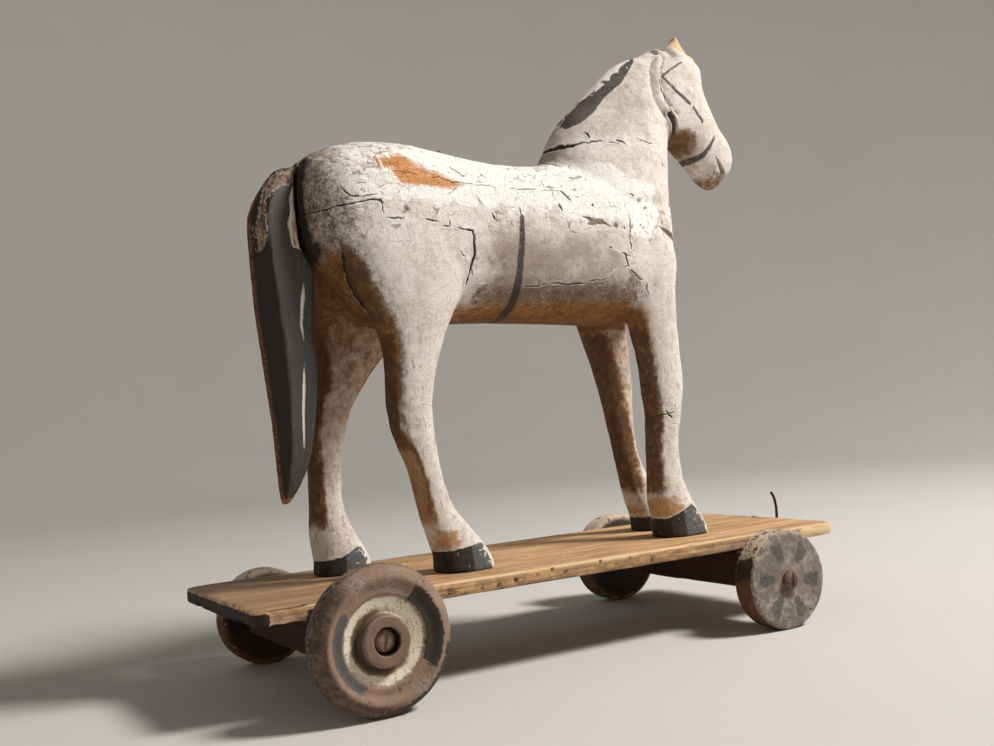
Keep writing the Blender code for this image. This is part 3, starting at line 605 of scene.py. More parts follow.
class Value:
    """A number that varies over a surface. Sums on it become nodes."""

    def __init__(self, tree, socket):
        self.tree = tree
        self.socket = socket

    def join(self, operation, *terms):
        node = self.tree.nodes.new("ShaderNodeMath")
        node.operation = operation
        for slot, term in zip(node.inputs, terms):
            if isinstance(term, Value):
                self.tree.links.new(term.socket, slot)
            else:
                slot.default_value = term
        return Value(self.tree, node.outputs[0])

    def __add__(self, other):
        return self.join("ADD", self, other)

    def __radd__(self, other):
        return self.join("ADD", other, self)

    def __sub__(self, other):
        return self.join("SUBTRACT", self, other)

    def __rsub__(self, other):
        return self.join("SUBTRACT", other, self)

    def __mul__(self, other):
        return self.join("MULTIPLY", self, other)

    def __rmul__(self, other):
        return self.join("MULTIPLY", other, self)

    def __neg__(self):
        return self.join("MULTIPLY", self, -1.0)

    def most(self, other):
        return self.join("MAXIMUM", self, other)

    def swing(self, width):
        """A share turned into a swing of the given width about nought."""
        return (self - 0.5) * width

    def step(self, low, high):
        """0 at low, 1 at high and smooth between, whichever of them is larger."""
        node = self.tree.nodes.new("ShaderNodeMapRange")
        node.interpolation_type = "SMOOTHSTEP"
        self.tree.links.new(self.socket, node.inputs["Value"])
        node.inputs["From Min"].default_value = min(low, high)
        node.inputs["From Max"].default_value = max(low, high)
        node.inputs["To Min"].default_value = 0.0 if low < high else 1.0
        node.inputs["To Max"].default_value = 1.0 if low < high else 0.0
        return Value(self.tree, node.outputs["Result"])


class Finish:
    """One material, built up coat by coat."""

    def __init__(self, name):
        self.material = bpy.data.materials.new(name)
        self.material.use_nodes = True
        self.tree = self.material.node_tree
        self.tree.nodes.clear()
        self.place = self.node("TexCoord").outputs["Object"]
        self.colour = None

    def node(self, kind, settings=None, sockets=None):
        made = self.tree.nodes.new("ShaderNode" + kind)
        for key, value in (settings or {}).items():
            setattr(made, key, value)
        for key, value in (sockets or {}).items():
            slot = made.inputs[key]
            if isinstance(value, Value):
                self.tree.links.new(value.socket, slot)
            elif isinstance(value, bpy.types.NodeSocket):
                self.tree.links.new(value, slot)
            else:
                slot.default_value = value
        return made

    def value(self, socket):
        return Value(self.tree, socket)

    def mark(self, name):
        """Values stored on the surface's points."""
        return self.value(self.node("Attribute", {"attribute_name": name}).outputs["Fac"])

    def places(self, size, stretch=(1, 1, 1), shift=0.0, base=None):
        """Positions counted in lumps of the given size in mm."""
        scale = tuple(1 / (size * MM * share) for share in stretch)
        made = self.node("Mapping", {"vector_type": "POINT"},
                         {"Vector": base or self.place, "Scale": scale, "Location": (shift,) * 3})
        return made.outputs[0]

    def grain(self, size, detail=4, rough=0.55, stretch=(1, 1, 1), shift=0.0, twist=0.0):
        """Cloudy unevenness from 0 to 1, mostly near 0.5."""
        made = self.node("TexNoise", None, {
            "Vector": self.places(size, stretch, shift), "Scale": 1.0, "Detail": detail,
            "Roughness": rough, "Distortion": twist,
        })
        return self.value(made.outputs["Fac"])

    def pits(self, size, shift):
        """Distance to the nearest of many scattered points, in lumps of the given size."""
        made = self.node("TexVoronoi", {"feature": "F1"},
                         {"Vector": self.places(size, shift=shift), "Scale": 1.0})
        return self.value(made.outputs["Distance"])

    def plates(self, size, stretch=(1, 1, 1), sway=6.0, reach=1.2):
        """An irregular brickwork. Returns the distance to the nearest joint in mm and a number
        from 0 to 1 for each plate."""
        noise = self.node("TexNoise", None, {
            "Vector": self.places(sway), "Scale": 1.0, "Detail": 4.0, "Roughness": 0.6,
        }).outputs["Color"]
        moved = self.node("VectorMath", {"operation": "MULTIPLY_ADD"}, {
            0: noise, 1: (reach * 4 * MM,) * 3, 2: self.place,
        }).outputs[0]
        there = self.places(size, stretch, base=moved)
        gaps = []
        for feature in ("F1", "F2"):
            made = self.node("TexVoronoi", {"feature": feature, "distance": "CHEBYCHEV"},
                             {"Vector": there, "Scale": 1.0})
            gaps.append(self.value(made.outputs["Distance"]))
            if feature == "F1":
                tone = self.value(made.outputs["Color"])
        return (gaps[1] - gaps[0]) * (size / 2), tone

    def mix(self, share, under, over):
        made = self.node("Mix", {"data_type": "RGBA"}, {0: share})
        for slot, colour in ((6, under), (7, over)):
            if isinstance(colour, bpy.types.NodeSocket):
                self.tree.links.new(colour, made.inputs[slot])
            else:
                made.inputs[slot].default_value = (*colour[:3], 1.0)
        return made.outputs[2]

    def coat(self, share, over):
        """Another colour laid over those so far, where share is above 0."""
        self.colour = self.mix(share, self.colour, over)

    def relief(self, height, depth):
        """A bump, depth in mm for a height of 1."""
        sockets = {"Height": height, "Distance": depth * MM, "Strength": 1.0}
        return self.node("Bump", None, sockets).outputs["Normal"]

    def done(self, roughness, normal=None, metallic=0.0, specular=0.4):
        sockets = {
            "Base Color": self.colour, "Roughness": roughness, "Metallic": metallic,
            "Specular IOR Level": specular,
        }
        if normal:
            sockets["Normal"] = normal
        shader = self.node("BsdfPrincipled", None, sockets)
        self.node("OutputMaterial", None, {"Surface": shader.outputs[0]})
        return self.material


# ---------------------------------------------------------------------------------------------
# The horse


def crack_marks(p, side_view, wander, normal):
    """Open cracks, how deep they go, and the painted shadow in front of the right thigh's crease.
    """
    x, y, z = p.T
    side_of = np.sign(y)
    crack = np.full(len(p), NOT_HERE)
    trench = np.zeros(len(p))

    def open_crack(inside, shown, depth):
        nonlocal crack, trench
        inside = np.where(shown, inside, NOT_HERE)
        crack = np.maximum(crack, inside)
        trench = np.maximum(trench, ease(inside, -0.35, 0.3) * depth)

    shaky = side_view + wander + waver(p, 2.4, (31, 35), 2) * 0.4
    ragged = 0.35 + 1.3 * lumps(p, 2.6, 23)
    interrupted = 0.6 * (1 - ease(lumps(p, 6.0, 29), 0.22, 0.48))
    for side, path, half, depth in CRACKS:
        gap, share = along_path(shaky, path)
        taper = np.minimum(1.0, 0.2 + 3.5 * np.minimum(share, 1 - share))
        inside = half * taper * ragged - gap
        if half < FINE_CRACK:
            inside = inside - interrupted
        open_crack(inside, (side_of == side) | (side == 0), depth)
    gap, share = along_path(side_view + wander * 0.3, CHEEK_GROOVE)
    open_crack(2.0 - 1.2 * np.abs(share - 0.3) - gap, np.abs(y) > 2, 1.8)

    slanted = np.stack([p[:, :2] @ SLANT, z], 1)
    gap, share = along_path(slanted + wander * 0.6, THIGH_CREASE)
    behind = (normal[:, 0] * 0.53 + normal[:, 1] * 0.848 < 0.1) & (x < -98) & (y < -8)
    half = (0.85 - 0.3 * share) * np.minimum(1, 0.2 + 4 * share) * (0.5 + lumps(p, 4, 37))
    open_crack(half - gap, behind, 0.8)
    crease = np.array(THIGH_CREASE)[::-1]
    front = slanted[:, 0] - np.interp(z, crease[:, 1], crease[:, 0])
    wide = np.interp(z, *CREASE_SHADOW) + 2.5 * roughness(p, 8.0, 39, 3)
    shadow = ease(front, -0.5, 1.5) * ease(wide - front, -3, 4) * behind
    return crack, trench, shadow * ease(z, 200, 214) * ease(z, 264, 254)


def gesso_marks(p, side_view, wander):
    """Where the gesso is broken into plates, lost, rubbed to the wood, or thick, white and partly
    painted highlight.
    """
    x, y, z = p.T
    upper = ease(z, 236, 268) * ease(z, 330, 316)
    lower = ease(z, 205, 225) * ease(z, 262, 235) * 0.45
    broken = np.maximum(upper, lower) * (0.75 + 0.25 * roughness(p, 30.0, 51, 3))
    broken = np.maximum(broken, ease(z, 330, 336) * 0.35)

    blocky = side_view + waver(p, 3.0, (73, 75), 2) * 0.9
    lost = inside_outline(blocky, SHOULDER_LOSS)
    for middle_x, middle_z, size in SMALL_LOSSES:
        gap = np.abs(blocky[:, 0] - middle_x) * 0.9 + np.abs(blocky[:, 1] - middle_z)
        lost = np.maximum(lost, size * 1.4 - gap)
    lost = np.where(y < 0, lost, NOT_HERE)
    scar = (roughness(p, 11.0, 71, 4) - 0.98) * 9.0
    lost = np.maximum(lost, np.where((upper > 0.3) & (x < 0), scar, NOT_HERE))

    bare = np.where(y < -8, inside_outline(side_view + wander * 1.2, BARE_PATCH), FAR_FROM)

    # The whiter, thicker gesso over the withers and shoulder, with a ragged lower edge, is partly
    # painted highlight where the light falls strongest
    edge = 280 + 4.5 * roughness(p, 24.0, 81, 3) + 5.5 * roughness(p * (1, 1, 0.35), 6.0, 83, 3)
    edge = edge - 16 * ease(x, 58, 80) - 7 * ease(x, 10, 18) * ease(x, 74, 60)
    bright_and_highlight = np.minimum(z - edge, 9 * ease(x, -88, -50))
    top = np.interp(x, (-10, 16, 60, 72, 96), (305, 311.5, 313, 303, 297))
    top = top + 4 * roughness(p, 20.0, 85, 3)
    bright_and_highlight = np.minimum(bright_and_highlight, np.maximum(top - z, 27 * ease(x, 14, -2) - 9))
    bright_and_highlight = np.minimum(bright_and_highlight, 96 + 6 * roughness(p, 16.0, 87, 3) - x)
    return {"broken": broken, "lost": lost, "bare": bare, "bright_and_highlight": bright_and_highlight}


def paint_marks(p, side_view, wander):
    """The painted mane, hooves and straps."""
    x, y, z = p.T
    mane = (z - np.interp(x, *np.transpose(MANE_EDGE))) * 0.75
    mane = np.where((x > 22) & (x < 114) & (z > 331.5), mane, FAR_FROM)
    mane = np.minimum(mane, np.minimum(108.5 - x, np.minimum((x - 41) * 1.2, z - 340.5)))

    hoof_top = np.select(
        [(x < -105) & (y > 0), x < 0, y < 0],
        [69.5 + 0.16 * (x + 140) + 0.35 * np.maximum(x + 130, 0), 73 + 0.12 * (x + 85),
         72.5 + 0.42 * np.maximum(x - 85, 0)],
        71.5 + 0.45 * np.maximum(x - 108, -4),
    )
    hoof = np.where(z < 100, hoof_top - z, FAR_FROM)

    strap = inside_line(side_view + wander * 0.5, GIRTH, GIRTH_HALF)
    for path, halves in STRAPS:
        strap = np.maximum(strap, inside_line(side_view + wander * 0.35, path, halves))
    return {"mane": mane, "hoof": hoof, "strap": strap}


def stain_and_shade_marks(p, side_view, wander, normal, shadow):
    """Warm stains, dirt, painted shade and warm bounce light, greyer gesso and the olive tuft."""
    x, y, z = p.T
    side_of = np.sign(y)
    fore, left = x > FORE_AND_HIND, y > 0

    # Warm colour on the sides that face down, inwards and back: real stain, with painted shade and
    # painted warm bounce light from below.
    under = ease(normal[:, 2], -0.15, -0.8)
    inner = ease(normal[:, 1] * side_of, 0.2, -0.6) * (z < 262)
    belly = ease(z, 228, 208) * 0.9 + ease(z, 240, 228) * 0.2
    left_leg = np.interp(z, (80, 110, 140, 165, 200, 240), (0.12, 0.25, 0.40, 0.42, 0.58, 0.85))
    strength = np.where((z < 205) | (x < -50), left_leg, 0.95) * ease(z, 70, 90)
    inner_side = inner * np.where(left, strength, ease(z, 130, 200) * 0.8)
    warm = np.maximum(under * np.where(z > 290, 1.0, belly), inner_side)
    behind = ease(normal[:, 0], -0.2, -0.75) * ease(z, 272, 240) * ease(z, 150, 200)
    warm = np.maximum(warm, behind * np.where(left, 0.95, 0.8))

    # Down the backs of the legs, stain and dirt with painted shade, and a rubbed tan fringe on the
    # right hind shank
    legs = ease(z, 214, 196) * (np.abs(x - FORE_AND_HIND) > 40) * ease(z, 80, 98)
    gap = behind_legs(p) + 1.6 * roughness(p * (1, 1, 0.3), 7.0, 121, 3)
    reach = np.interp(z, (100, 132, 152, 205), (9.5, 9.0, 5.0, 9.5))
    reach = np.where(left, np.where(fore, 21.0, 11.0), np.where(fore, 9.5, reach))
    rear = ease(gap / reach, 1.0, 0.35) * legs
    fringe = np.where(~fore & ~left & (z < 140), ease(gap / reach, 0.1, 0.75), 1.0)
    tan = rear * (1 - fringe) * ease(z, 140, 128)
    warm = np.maximum(warm, rear * np.where(fore & ~left, 0.6, 0.95))
    for side, outline in PASTERN_STAINS:
        spot = inside_outline(side_view + wander * 1.2, outline) + 2.2 * roughness(p, 3.2, 129, 3)
        spot = ease(spot, -3.2, 5.0) * (side_of == side)
        warm = np.maximum(warm, spot * 0.7)
        tan = np.maximum(tan, spot * 0.75)
    warm = np.where(z > 300, warm * ease(x, 172, 150) * 0.65, warm)
    # Under the jaw and chin: stain, with painted shade; both also feed the dirt and shade mark
    # below.
    jaw = ease(np.hypot(x - 141, z - 334), 19, 4) * 0.75
    chin = ease(x, 148, 160) * ease(z, 320, 310) * 0.8
    warm = np.maximum(warm, np.maximum(jaw * 0.75, chin * 0.6))

    grime_and_shade = np.maximum(
        ease(x, -104, -150) * ease(z, 200, 250) * 0.72,
        ease(z, 240, 226) * ease(z, 195, 208) * ease(x, -62, -50) * ease(x, 88, 70) * 0.7,
    )
    # Painted shade on the back-facing sides of the thighs.
    back_thigh_shade = ease(normal[:, 0], -0.15, -0.6) * ease(z, 278, 244) * ease(z, 120, 175)
    grime_and_shade = np.maximum(grime_and_shade, back_thigh_shade * (x < -84) * 0.85)
    grime_and_shade = np.maximum(grime_and_shade, rear * np.where(left, 0.45, 0.85))
    swirl = roughness(p, 8.0, 125, 3)
    for middle_x, middle_z, reach in DIRTY_AND_SHADED_FOLDS:
        gap = np.hypot(x - middle_x, (z - middle_z) * 1.1) + swirl * reach * 0.5
        fold = ease(gap, reach, 0.15 * reach) * (0.4 + 0.6 * lumps(p, 7.0, 127))
        grime_and_shade = np.maximum(grime_and_shade, fold * (np.abs(y) > 10) * (0.95 if middle_x > 0 else 0.6))
    for other in (chin, jaw * 1.15, ease(z, 180, 130) * 0.18):
        grime_and_shade = np.maximum(grime_and_shade, other)

    shade = ease(z, 278, 246) * ease(z, 195, 215) * ease(x, -64, -30) * ease(x, 74, 46)
    shade = shade * (0.7 + 0.4 * roughness(p, 22.0, 105, 2))
    shade = np.maximum(shade, ease(z, 326, 338) * ease(x, 114, 96) * 0.36)
    shade = np.maximum(shade, ease(z, 311, 318) * ease(z, 332, 326) * ease(x, 60, 20) * 0.65)

    tuft = ease(np.hypot(x + 53.5, y + 1), 3.6, 0.8) * (z > 300)
    moss = ease(np.hypot(x + 101, (z - 276) * 1.5), 6.5, 1.5) * (y < -20) * 0.42
    moss = np.maximum(tuft, moss * lumps(p, 3.0, 135) * 1.6)
    # Dirt and painted shade in the hollow round the tail's root and down between the thighs
    cavity = ease(x, -145.5, -150.5) * ease(np.abs(y), 19, 11) * ease(z, 225, 245)
    cavity = np.maximum(cavity, ease(x, -138, -148) * ease(np.abs(y), 22, 14)
                        * ease(z, 222, 238) * ease(z, 268, 255))
    # rear carries the painted shade down the backs of the legs and the painted shadow in front of
    # the right thigh's crease.
    return {"warm": warm, "grime_and_shade": grime_and_shade, "shade": shade, "cavity": cavity, "tuft": tuft,
            "moss": moss, "jaw": jaw, "tan": tan, "rear": np.maximum(rear * fringe, shadow)}


def horse_marks(surface):
    """Where each paint, crack, stain and painted shade lies on the horse, from position and slope
    alone. Lines and patches are given in mm into them, negative outside; the soft ones as shares."""
    p = surface.points
    side_view = p[:, [0, 2]]
    wander = waver(p, 9.0, (11, 17), 3)
    normal = surface.normals(8)
    crack, trench, shadow = crack_marks(p, side_view, wander, normal)
    return {
        "crack": crack, "trench": trench, **gesso_marks(p, side_view, wander),
        **paint_marks(p, side_view, wander),
        **stain_and_shade_marks(p, side_view, wander, normal, shadow),
        "leg": ease(p[:, 2], 222, 186), "low_wood": ease(p[:, 2], 297.5, 295),
    }


def leg_parts(x, y):
    """Whether it is a foreleg, whether it is on the left, and its points, for each leg."""
    for fore in (False, True):
        for left in (False, True):
            yield fore, left, ((x > FORE_AND_HIND) == fore) & ((y > 0) == left)


def behind_legs(p):
    """How far forward each low point is from the back outline of its leg, in mm."""
    x, y, z = p.T
    gap = np.full(len(p), 99.0)
    for _, _, here in leg_parts(x, y):
        chosen = np.flatnonzero(here & (z < 226))
        if len(chosen):
            gap[chosen] = behind_outline(x[chosen], z[chosen], 58, 4)
    return gap


def closest_edge(marks):
    """Distance in mm to the nearest line or outline that needs finer points."""
    gap = np.maximum(-marks["crack"] - 0.3, 0)
    for name in ("lost", "strap", "hoof"):
        gap = np.minimum(gap, np.abs(marks[name]))
    return gap


def refine(thing, reach):
    """Halves the surface's faces wherever a crack or painted edge is nearer than reach."""
    surface = Surface(thing)
    near = closest_edge(horse_marks(surface)) < reach
    bm = bmesh.new()
    bm.from_mesh(thing.data)
    bm.verts.ensure_lookup_table()
    edges = [edge for edge in bm.edges if near[edge.verts[0].index] and near[edge.verts[1].index]]
    bmesh.ops.subdivide_edges(bm, edges=edges, cuts=1, use_grid_fill=True)
    bm.to_mesh(thing.data)
    bm.free()


def shape_horse(surface):
    """Fills out the left thigh, broadens the right ear and slims the face and chest."""
    p = surface.points
    x, y, z = p.T.copy()
    thigh = ease(z, 168, 206) * ease(z, 274, 256) * ease(x, -104, -128) * ease(y, 3, 13)
    p[:, 0] -= 9.5 * thigh
    seat = ease(z, 228, 244) * ease(z, 268, 256) * ease(x, -118, -138) * ease(np.abs(y), 18, 8)
    p[:, 0] -= 3.0 * seat * (1 - thigh)
    for middle, reach, move in SHAPING:
        share = np.exp(-(((np.stack([x, y, z], 1) - middle) / reach) ** 2).sum(1))
        p += share[:, None] * move
    ear = (y < 0) * ease(x, 122, 131)
    p[:, 0] -= 3.2 * ear * ease(z, 399, 410)
    p[:, 0] += 3.0 * ear * ease(z, 398, 403) * np.clip((x - 146) / 4, -1, 1)
    point = ear * ease(z, 403.5, 414)
    p[:, 0] = EAR_TIP_X + (p[:, 0] - EAR_TIP_X) * (1 - 0.75 * point)


def carve_skin(surface):
    """Puts the carving and the age of the gesso into the horse's surface."""
    p = surface.points
    x, y, z = p.T
    marks = horse_marks(surface)
    depth = marks["trench"].copy()
    depth -= 0.22 * bell(marks["crack"] + 0.8, 0.5)
    depth += ease(marks["lost"], -0.4, 0.4) * 0.5
    depth += ease(marks["bare"], -0.6, 0.8) * 0.35
    depth -= ease(marks["bright_and_highlight"], -0.6, 0.9) * 0.22
    depth += 0.35 * roughness(p, 28.0, 91, 2) + 0.16 * roughness(p, 7.0, 93, 3)
    depth += 0.06 * roughness(p, 2.6, 97, 2)
    shins = ease(z, 190, 150) * ease(z, 78, 90)
    depth += shins * 0.22 * roughness(p * (1, 1, 0.35), 3.5, 95, 3)
    depth -= marks["tuft"] * 4.2 * (0.3 + lumps(p, 1.6, 99))

    side_view = p[:, [0, 2]]
    gap, _ = along_path(side_view, CHEEK_RIM)
    half_side = ease(np.abs(y), 7, 12)
    flaky = 0.55 + 0.9 * lumps(p, 3.2, 111)
    depth -= bell(gap, 2.2) * 0.95 * half_side * flaky
    gap, _ = along_path(side_view - (4.6, 0.4), CHEEK_RIM)
    pitted = ease(lumps(p, 2.2, 113), 0.35, 0.7)
    depth += bell(gap, 1.0) * (0.35 + 0.8 * pitted) * half_side
    gap, _ = along_path(side_view + (4.4, 1.2), CHEEK_RIM)
    depth += bell(gap, 2.2) * 0.9 * half_side
    crumbs = ease(np.hypot(x - 122, z - 398), 10, 3) * (y < 2)
    depth -= crumbs * 1.1 * (lumps(p, 2.6, 115) - 0.4)
    # Nostril dimples and shallow eye hollows
    for middle, radius, sink in (((180, 331), 3.0, 0.6), ((141, 379), 5.5, 0.4)):
        gap = np.hypot(side_view[:, 0] - middle[0], side_view[:, 1] - middle[1])
        depth += bell(gap, radius) * sink * half_side
    surface.press(depth)


def mark_horse(surface):
    """Stores on a finished piece of the horse all that its material reads."""
    x, y, z = surface.points.T
    marks = horse_marks(surface)
    del marks["trench"], marks["tuft"]
    for name in ("crack", "lost", "strap"):
        marks[name] = np.clip(marks[name], -3, 3)
    grey = np.zeros(len(x))
    for fore, left, here in leg_parts(x, y):
        grey = np.where(here, ease(x - HOOF_GREYS[fore, left], -1.2, 1.2), grey)
    crest = np.interp(x, (40, 60, 66, 72, 90, 97, 103, 110), (1.2, 1.8, 5, 6.5, 7.5, 7, 4, -4))
    surface.mark(edge=surface.edges_out(5), crest=crest - np.abs(y), grey=grey,
                 toe=ease(surface.normals()[:, 0], 0.2, 0.8), feather=ease(x, -92, -120),
                 ear=ease(z + (x - 142) * 0.5, 400.5, 405.5) * ease(x, 132, 137), **marks)


def join_rows(bm, low, high):
    """Faces between two closed rows of as many points."""
    for number in range(len(low)):
        following = (number + 1) % len(low)
        bm.faces.new((low[number], high[number], high[following], low[following]))


def plate_block(name, outline, near_y, far_y, grow):
    """A block with the given side outline, every face moved out by grow."""
    count = len(outline)
    bm = bmesh.new()
    rows = []
    for y in (near_y - grow, far_y + grow):
        row = []
        for number, corner in enumerate(outline):
            here = Vector(corner)
            before = (here - Vector(outline[number - 1])).normalized()
            after = (Vector(outline[(number + 1) % count]) - here).normalized()
            out = Vector((before.y, -before.x)) + Vector((after.y, -after.x))
            here = here + out * (grow * 2 / out.length_squared)
            row.append(bm.verts.new((here.x * MM, y * MM, here.y * MM)))
        rows.append(row)
    bm.faces.new(rows[0])
    bm.faces.new(rows[1][::-1])
    join_rows(bm, *rows)
    bmesh.ops.recalc_face_normals(bm, faces=bm.faces)
    mesh = bpy.data.meshes.new(name)
    bm.to_mesh(mesh)
    bm.free()
    return new_thing(name, mesh)


def cut(thing, block, operation):
    tool = thing.modifiers.new("cut", "BOOLEAN")
    tool.object = block
    tool.operation = operation
    tool.solver = "MANIFOLD"
    take_mesh(thing)
    if not thing.data.vertices:
        raise RuntimeError(f"cutting {thing.name} left nothing")


def glue_blocks():
    """Name, outline and sideways reach of each block glued to the body."""
    blocks = [("head_and_neck", HEAD_BLOCK, -FAR, FAR)]
    for side, sign in (("right", -1), ("left", 1)):
        back = FORE_BACK[side]
        fore = [(back, BLOCK_FOOT), (FAR, BLOCK_FOOT), (FAR, FORE_TOP), (back, FORE_TOP)]
        for leg, outline, inner in (("hind_leg", HIND_BLOCK, HIND_JOINT_Y),
                                    ("foreleg", fore, FORE_JOINT_Y)):
            near, wide = sorted((sign * inner, sign * FAR))
            blocks.append((f"{leg}_{side}", outline, near, wide))
    return blocks


def horse_finish():
    c = colours()
    f = Finish("horse gesso")
    cloud = f.grain(26, 3)
    mottle = f.grain(4.5, 5, 0.62)
    speck = f.grain(1.1, 4, 0.72)
    dust = f.grain(0.75, 3, 0.6, shift=9.1)
    fleck = f.grain(2.2, 3, 0.6, shift=3.3)
    streak = f.grain(2.6, 4, 0.6, stretch=(1, 1, 4))
    broken = f.mark("broken")
    plate_size = sizes().plate_size / MM
    joint, plate = f.plates(plate_size, (1.3, 1.1, 0.8))
    chip_joint, chip = f.plates(plate_size * 0.38, (1.2, 1.1, 0.7), 3.0, 0.7)
    lift = sizes().plate_lift / MM

    grime_and_shade, warm, leg = f.mark("grime_and_shade"), f.mark("warm"), f.mark("leg")
    aged = cloud * 0.9 + mottle * 0.7 + (plate - 0.5) * broken * 0.12
    f.colour = f.mix(aged.step(0.66, 1.12), c.gesso, c.gesso_aged)
    shade = (f.mark("shade") + cloud.swing(0.4) + mottle.swing(0.25)).step(0.05, 0.95)
    f.coat(shade * 0.85, c.gesso_shade)
    blotch = f.grain(11, 4, 0.6, shift=12.5) + mottle * 0.5 + f.mark("shade") * 0.12
    f.coat(blotch.step(0.78, 1.0) * (broken * 0.35 + 0.1), c.gesso_shade)
    # The whiter gesso band over the withers and shoulder, partly painted highlight.
    bright_and_highlight = (f.mark("bright_and_highlight") + mottle.swing(5.0) + plate.swing(5.0) * broken
              + chip.swing(5.0) * broken)
    f.coat(bright_and_highlight.step(-2.2, 1.6) * 0.92, c.gesso_bright)
    # Dirt, which also lays painted shade on the backs of the thighs and legs, in the folds and
    # under the jaw.
    dirt = (grime_and_shade * 0.9 + mottle * 0.9 + speck * 0.8 + cloud.swing(0.5)).step(1.08, 1.75)
    f.coat(dirt, c.grime_and_shade)
    # Warm stain, also painted shade and painted warm bounce light on the sides that face down,
    # inwards and back.
    stain = (warm * (mottle * 1.3 + cloud * 0.7 + 0.2)).step(0.24, 0.95)
    hue = f.mix((cloud * 0.5 + mottle * 0.45 + warm * 0.35).step(0.56, 0.90), c.ochre, c.ochre_deep)
    hue = f.mix((speck * 0.6 + mottle * 0.6).step(0.58, 0.74) * 0.7, hue, c.seam)
    f.coat(stain * 0.92, hue)
    # Painted shade down the backs of the legs and painted shadow in front of the right thigh's
    # crease.
    back = (f.mark("rear") + mottle.swing(1.2)
            + f.grain(2.4, 5, 0.62, stretch=(1, 1, 6)).swing(1.4))
    f.coat(back.step(0.40, 1.0) * 0.65, c.seam)
    tan = f.mark("tan") + mottle.swing(0.9) + streak.swing(0.8)
    f.coat(tan.step(0.15, 0.8) * 0.75, c.leg_tan)
    # Painted shade under the jaw.
    jaw = (f.mark("jaw") + mottle.swing(0.5)).step(0.2, 0.8)
    f.coat(jaw * 0.45, c.seam)
    dots = (speck + grime_and_shade * 0.14 + warm * 0.03).step(0.585, 0.70)
    f.coat(dots * (0.42 - leg * 0.2), c.grime_and_shade)
    runs = f.grain(2.0, 5, 0.65, stretch=(1, 1, 5), shift=4.4)
    f.coat((runs + grime_and_shade * 0.08).step(0.56, 0.68) * leg * 0.45, c.grime_and_shade)
    f.coat((-f.mark("edge")).step(0.05, 0.25) * 0.5, c.grime_and_shade)

    opened = (broken + f.grain(9, 4, 0.6, shift=5.5).swing(3.4)).step(0.95, 1.35)
    joints = (opened * 0.34 - joint).step(-0.12, 0.16)
    nicked = (broken + f.grain(5, 4, 0.6, shift=8.5).swing(3.2)).step(1.10, 1.45)
    nicks = (nicked * 0.36 - chip_joint).step(-0.08, 0.16)
    fine_cracks = joints.most(nicks * 0.85)
    f.coat(fine_cracks * 0.55, c.seam)

    lost = f.mark("lost") + speck.swing(0.6)
    ground = f.mix(fleck.step(0.4, 0.65), c.gesso_shade, c.grime_and_shade)
    f.coat(lost.step(-0.25, 0.25), ground)

    wood_grain = f.grain(3.0, 4, 0.6, stretch=(14, 1.4, 0.8))
    wood = f.mix(wood_grain.step(0.42, 0.66), c.bare_wood, c.ochre)
    wood = f.mix(wood_grain.step(0.62, 0.72) * 0.5, wood, c.seam)
    chatter = f.grain(3.2, 2, 0.5, stretch=(0.55, 3, 3), twist=0.5)
    bare = (f.mark("bare") + f.grain(6, 5, 0.65, stretch=(3, 1, 1)).swing(6.0)
            - (chatter - 0.38).most(0.0) * f.mark("feather") * 26.0)
    wood = f.mix(f.mark("low_wood") * 0.65, wood, c.ochre)
    on_wood = bare.step(-1.2, 2.4)
    f.coat(on_wood, wood)
    yellow = f.mix(wood_grain.step(0.4, 0.7) * 0.4, c.ear_wood, c.bare_wood)
    f.coat((f.mark("ear") + mottle.swing(0.8)).step(0.4, 0.7), yellow)
    f.coat((f.mark("moss") + speck.swing(0.2)).step(0.1, 0.6),
           f.mix(speck.step(0.4, 0.7), c.moss, c.grime_and_shade))

    crack = f.mark("crack") + speck.swing(0.34) + mottle.swing(0.5)
    # Painted highlight on the lifted lips of the cracks.
    lip = crack.step(-1.3, -0.6) * crack.step(-0.15, -0.5)
    f.coat(lip * (1 - warm * 1.6 - grime_and_shade - on_wood).most(0.0) * 0.4, c.gesso_bright)
    f.coat(crack.step(-0.45, 0.05) * 0.4, c.grime_and_shade)
    f.coat(crack.step(-0.16, 0.14) * 0.85, c.crack)
    # Dirt and painted shade in the hollow round the tail's root.
    cavity = (f.mark("cavity") + mottle.swing(0.5)).step(0.25, 0.8)
    f.coat(cavity * 0.92, c.crack)

    mane = f.mark("mane") + mottle.swing(1.6)
    islands = f.grain(5, 5, 0.62, stretch=(1.6, 1, 1), shift=7.7)
    flaked = (f.mark("crest") * 0.9 + islands.swing(15.0) + chip.swing(3.5)).step(-0.4, 0.4)
    mane_colour = f.mix((cloud + fleck.swing(0.4)).step(0.35, 0.7), c.mane_paint, c.strap_paint)
    cream = f.mix(fleck.step(0.45, 0.65) * 0.5, c.gesso_bright, c.gesso_aged)
    f.coat(mane.step(-0.35, 0.35), f.mix(flaked, mane_colour, cream))

    strap = f.mark("strap") + speck.swing(0.9) + mottle.swing(0.8)
    f.coat(strap.step(-0.45, 0.7) * (0.9 - fleck.step(0.56, 0.75) * 0.55), c.strap_paint)

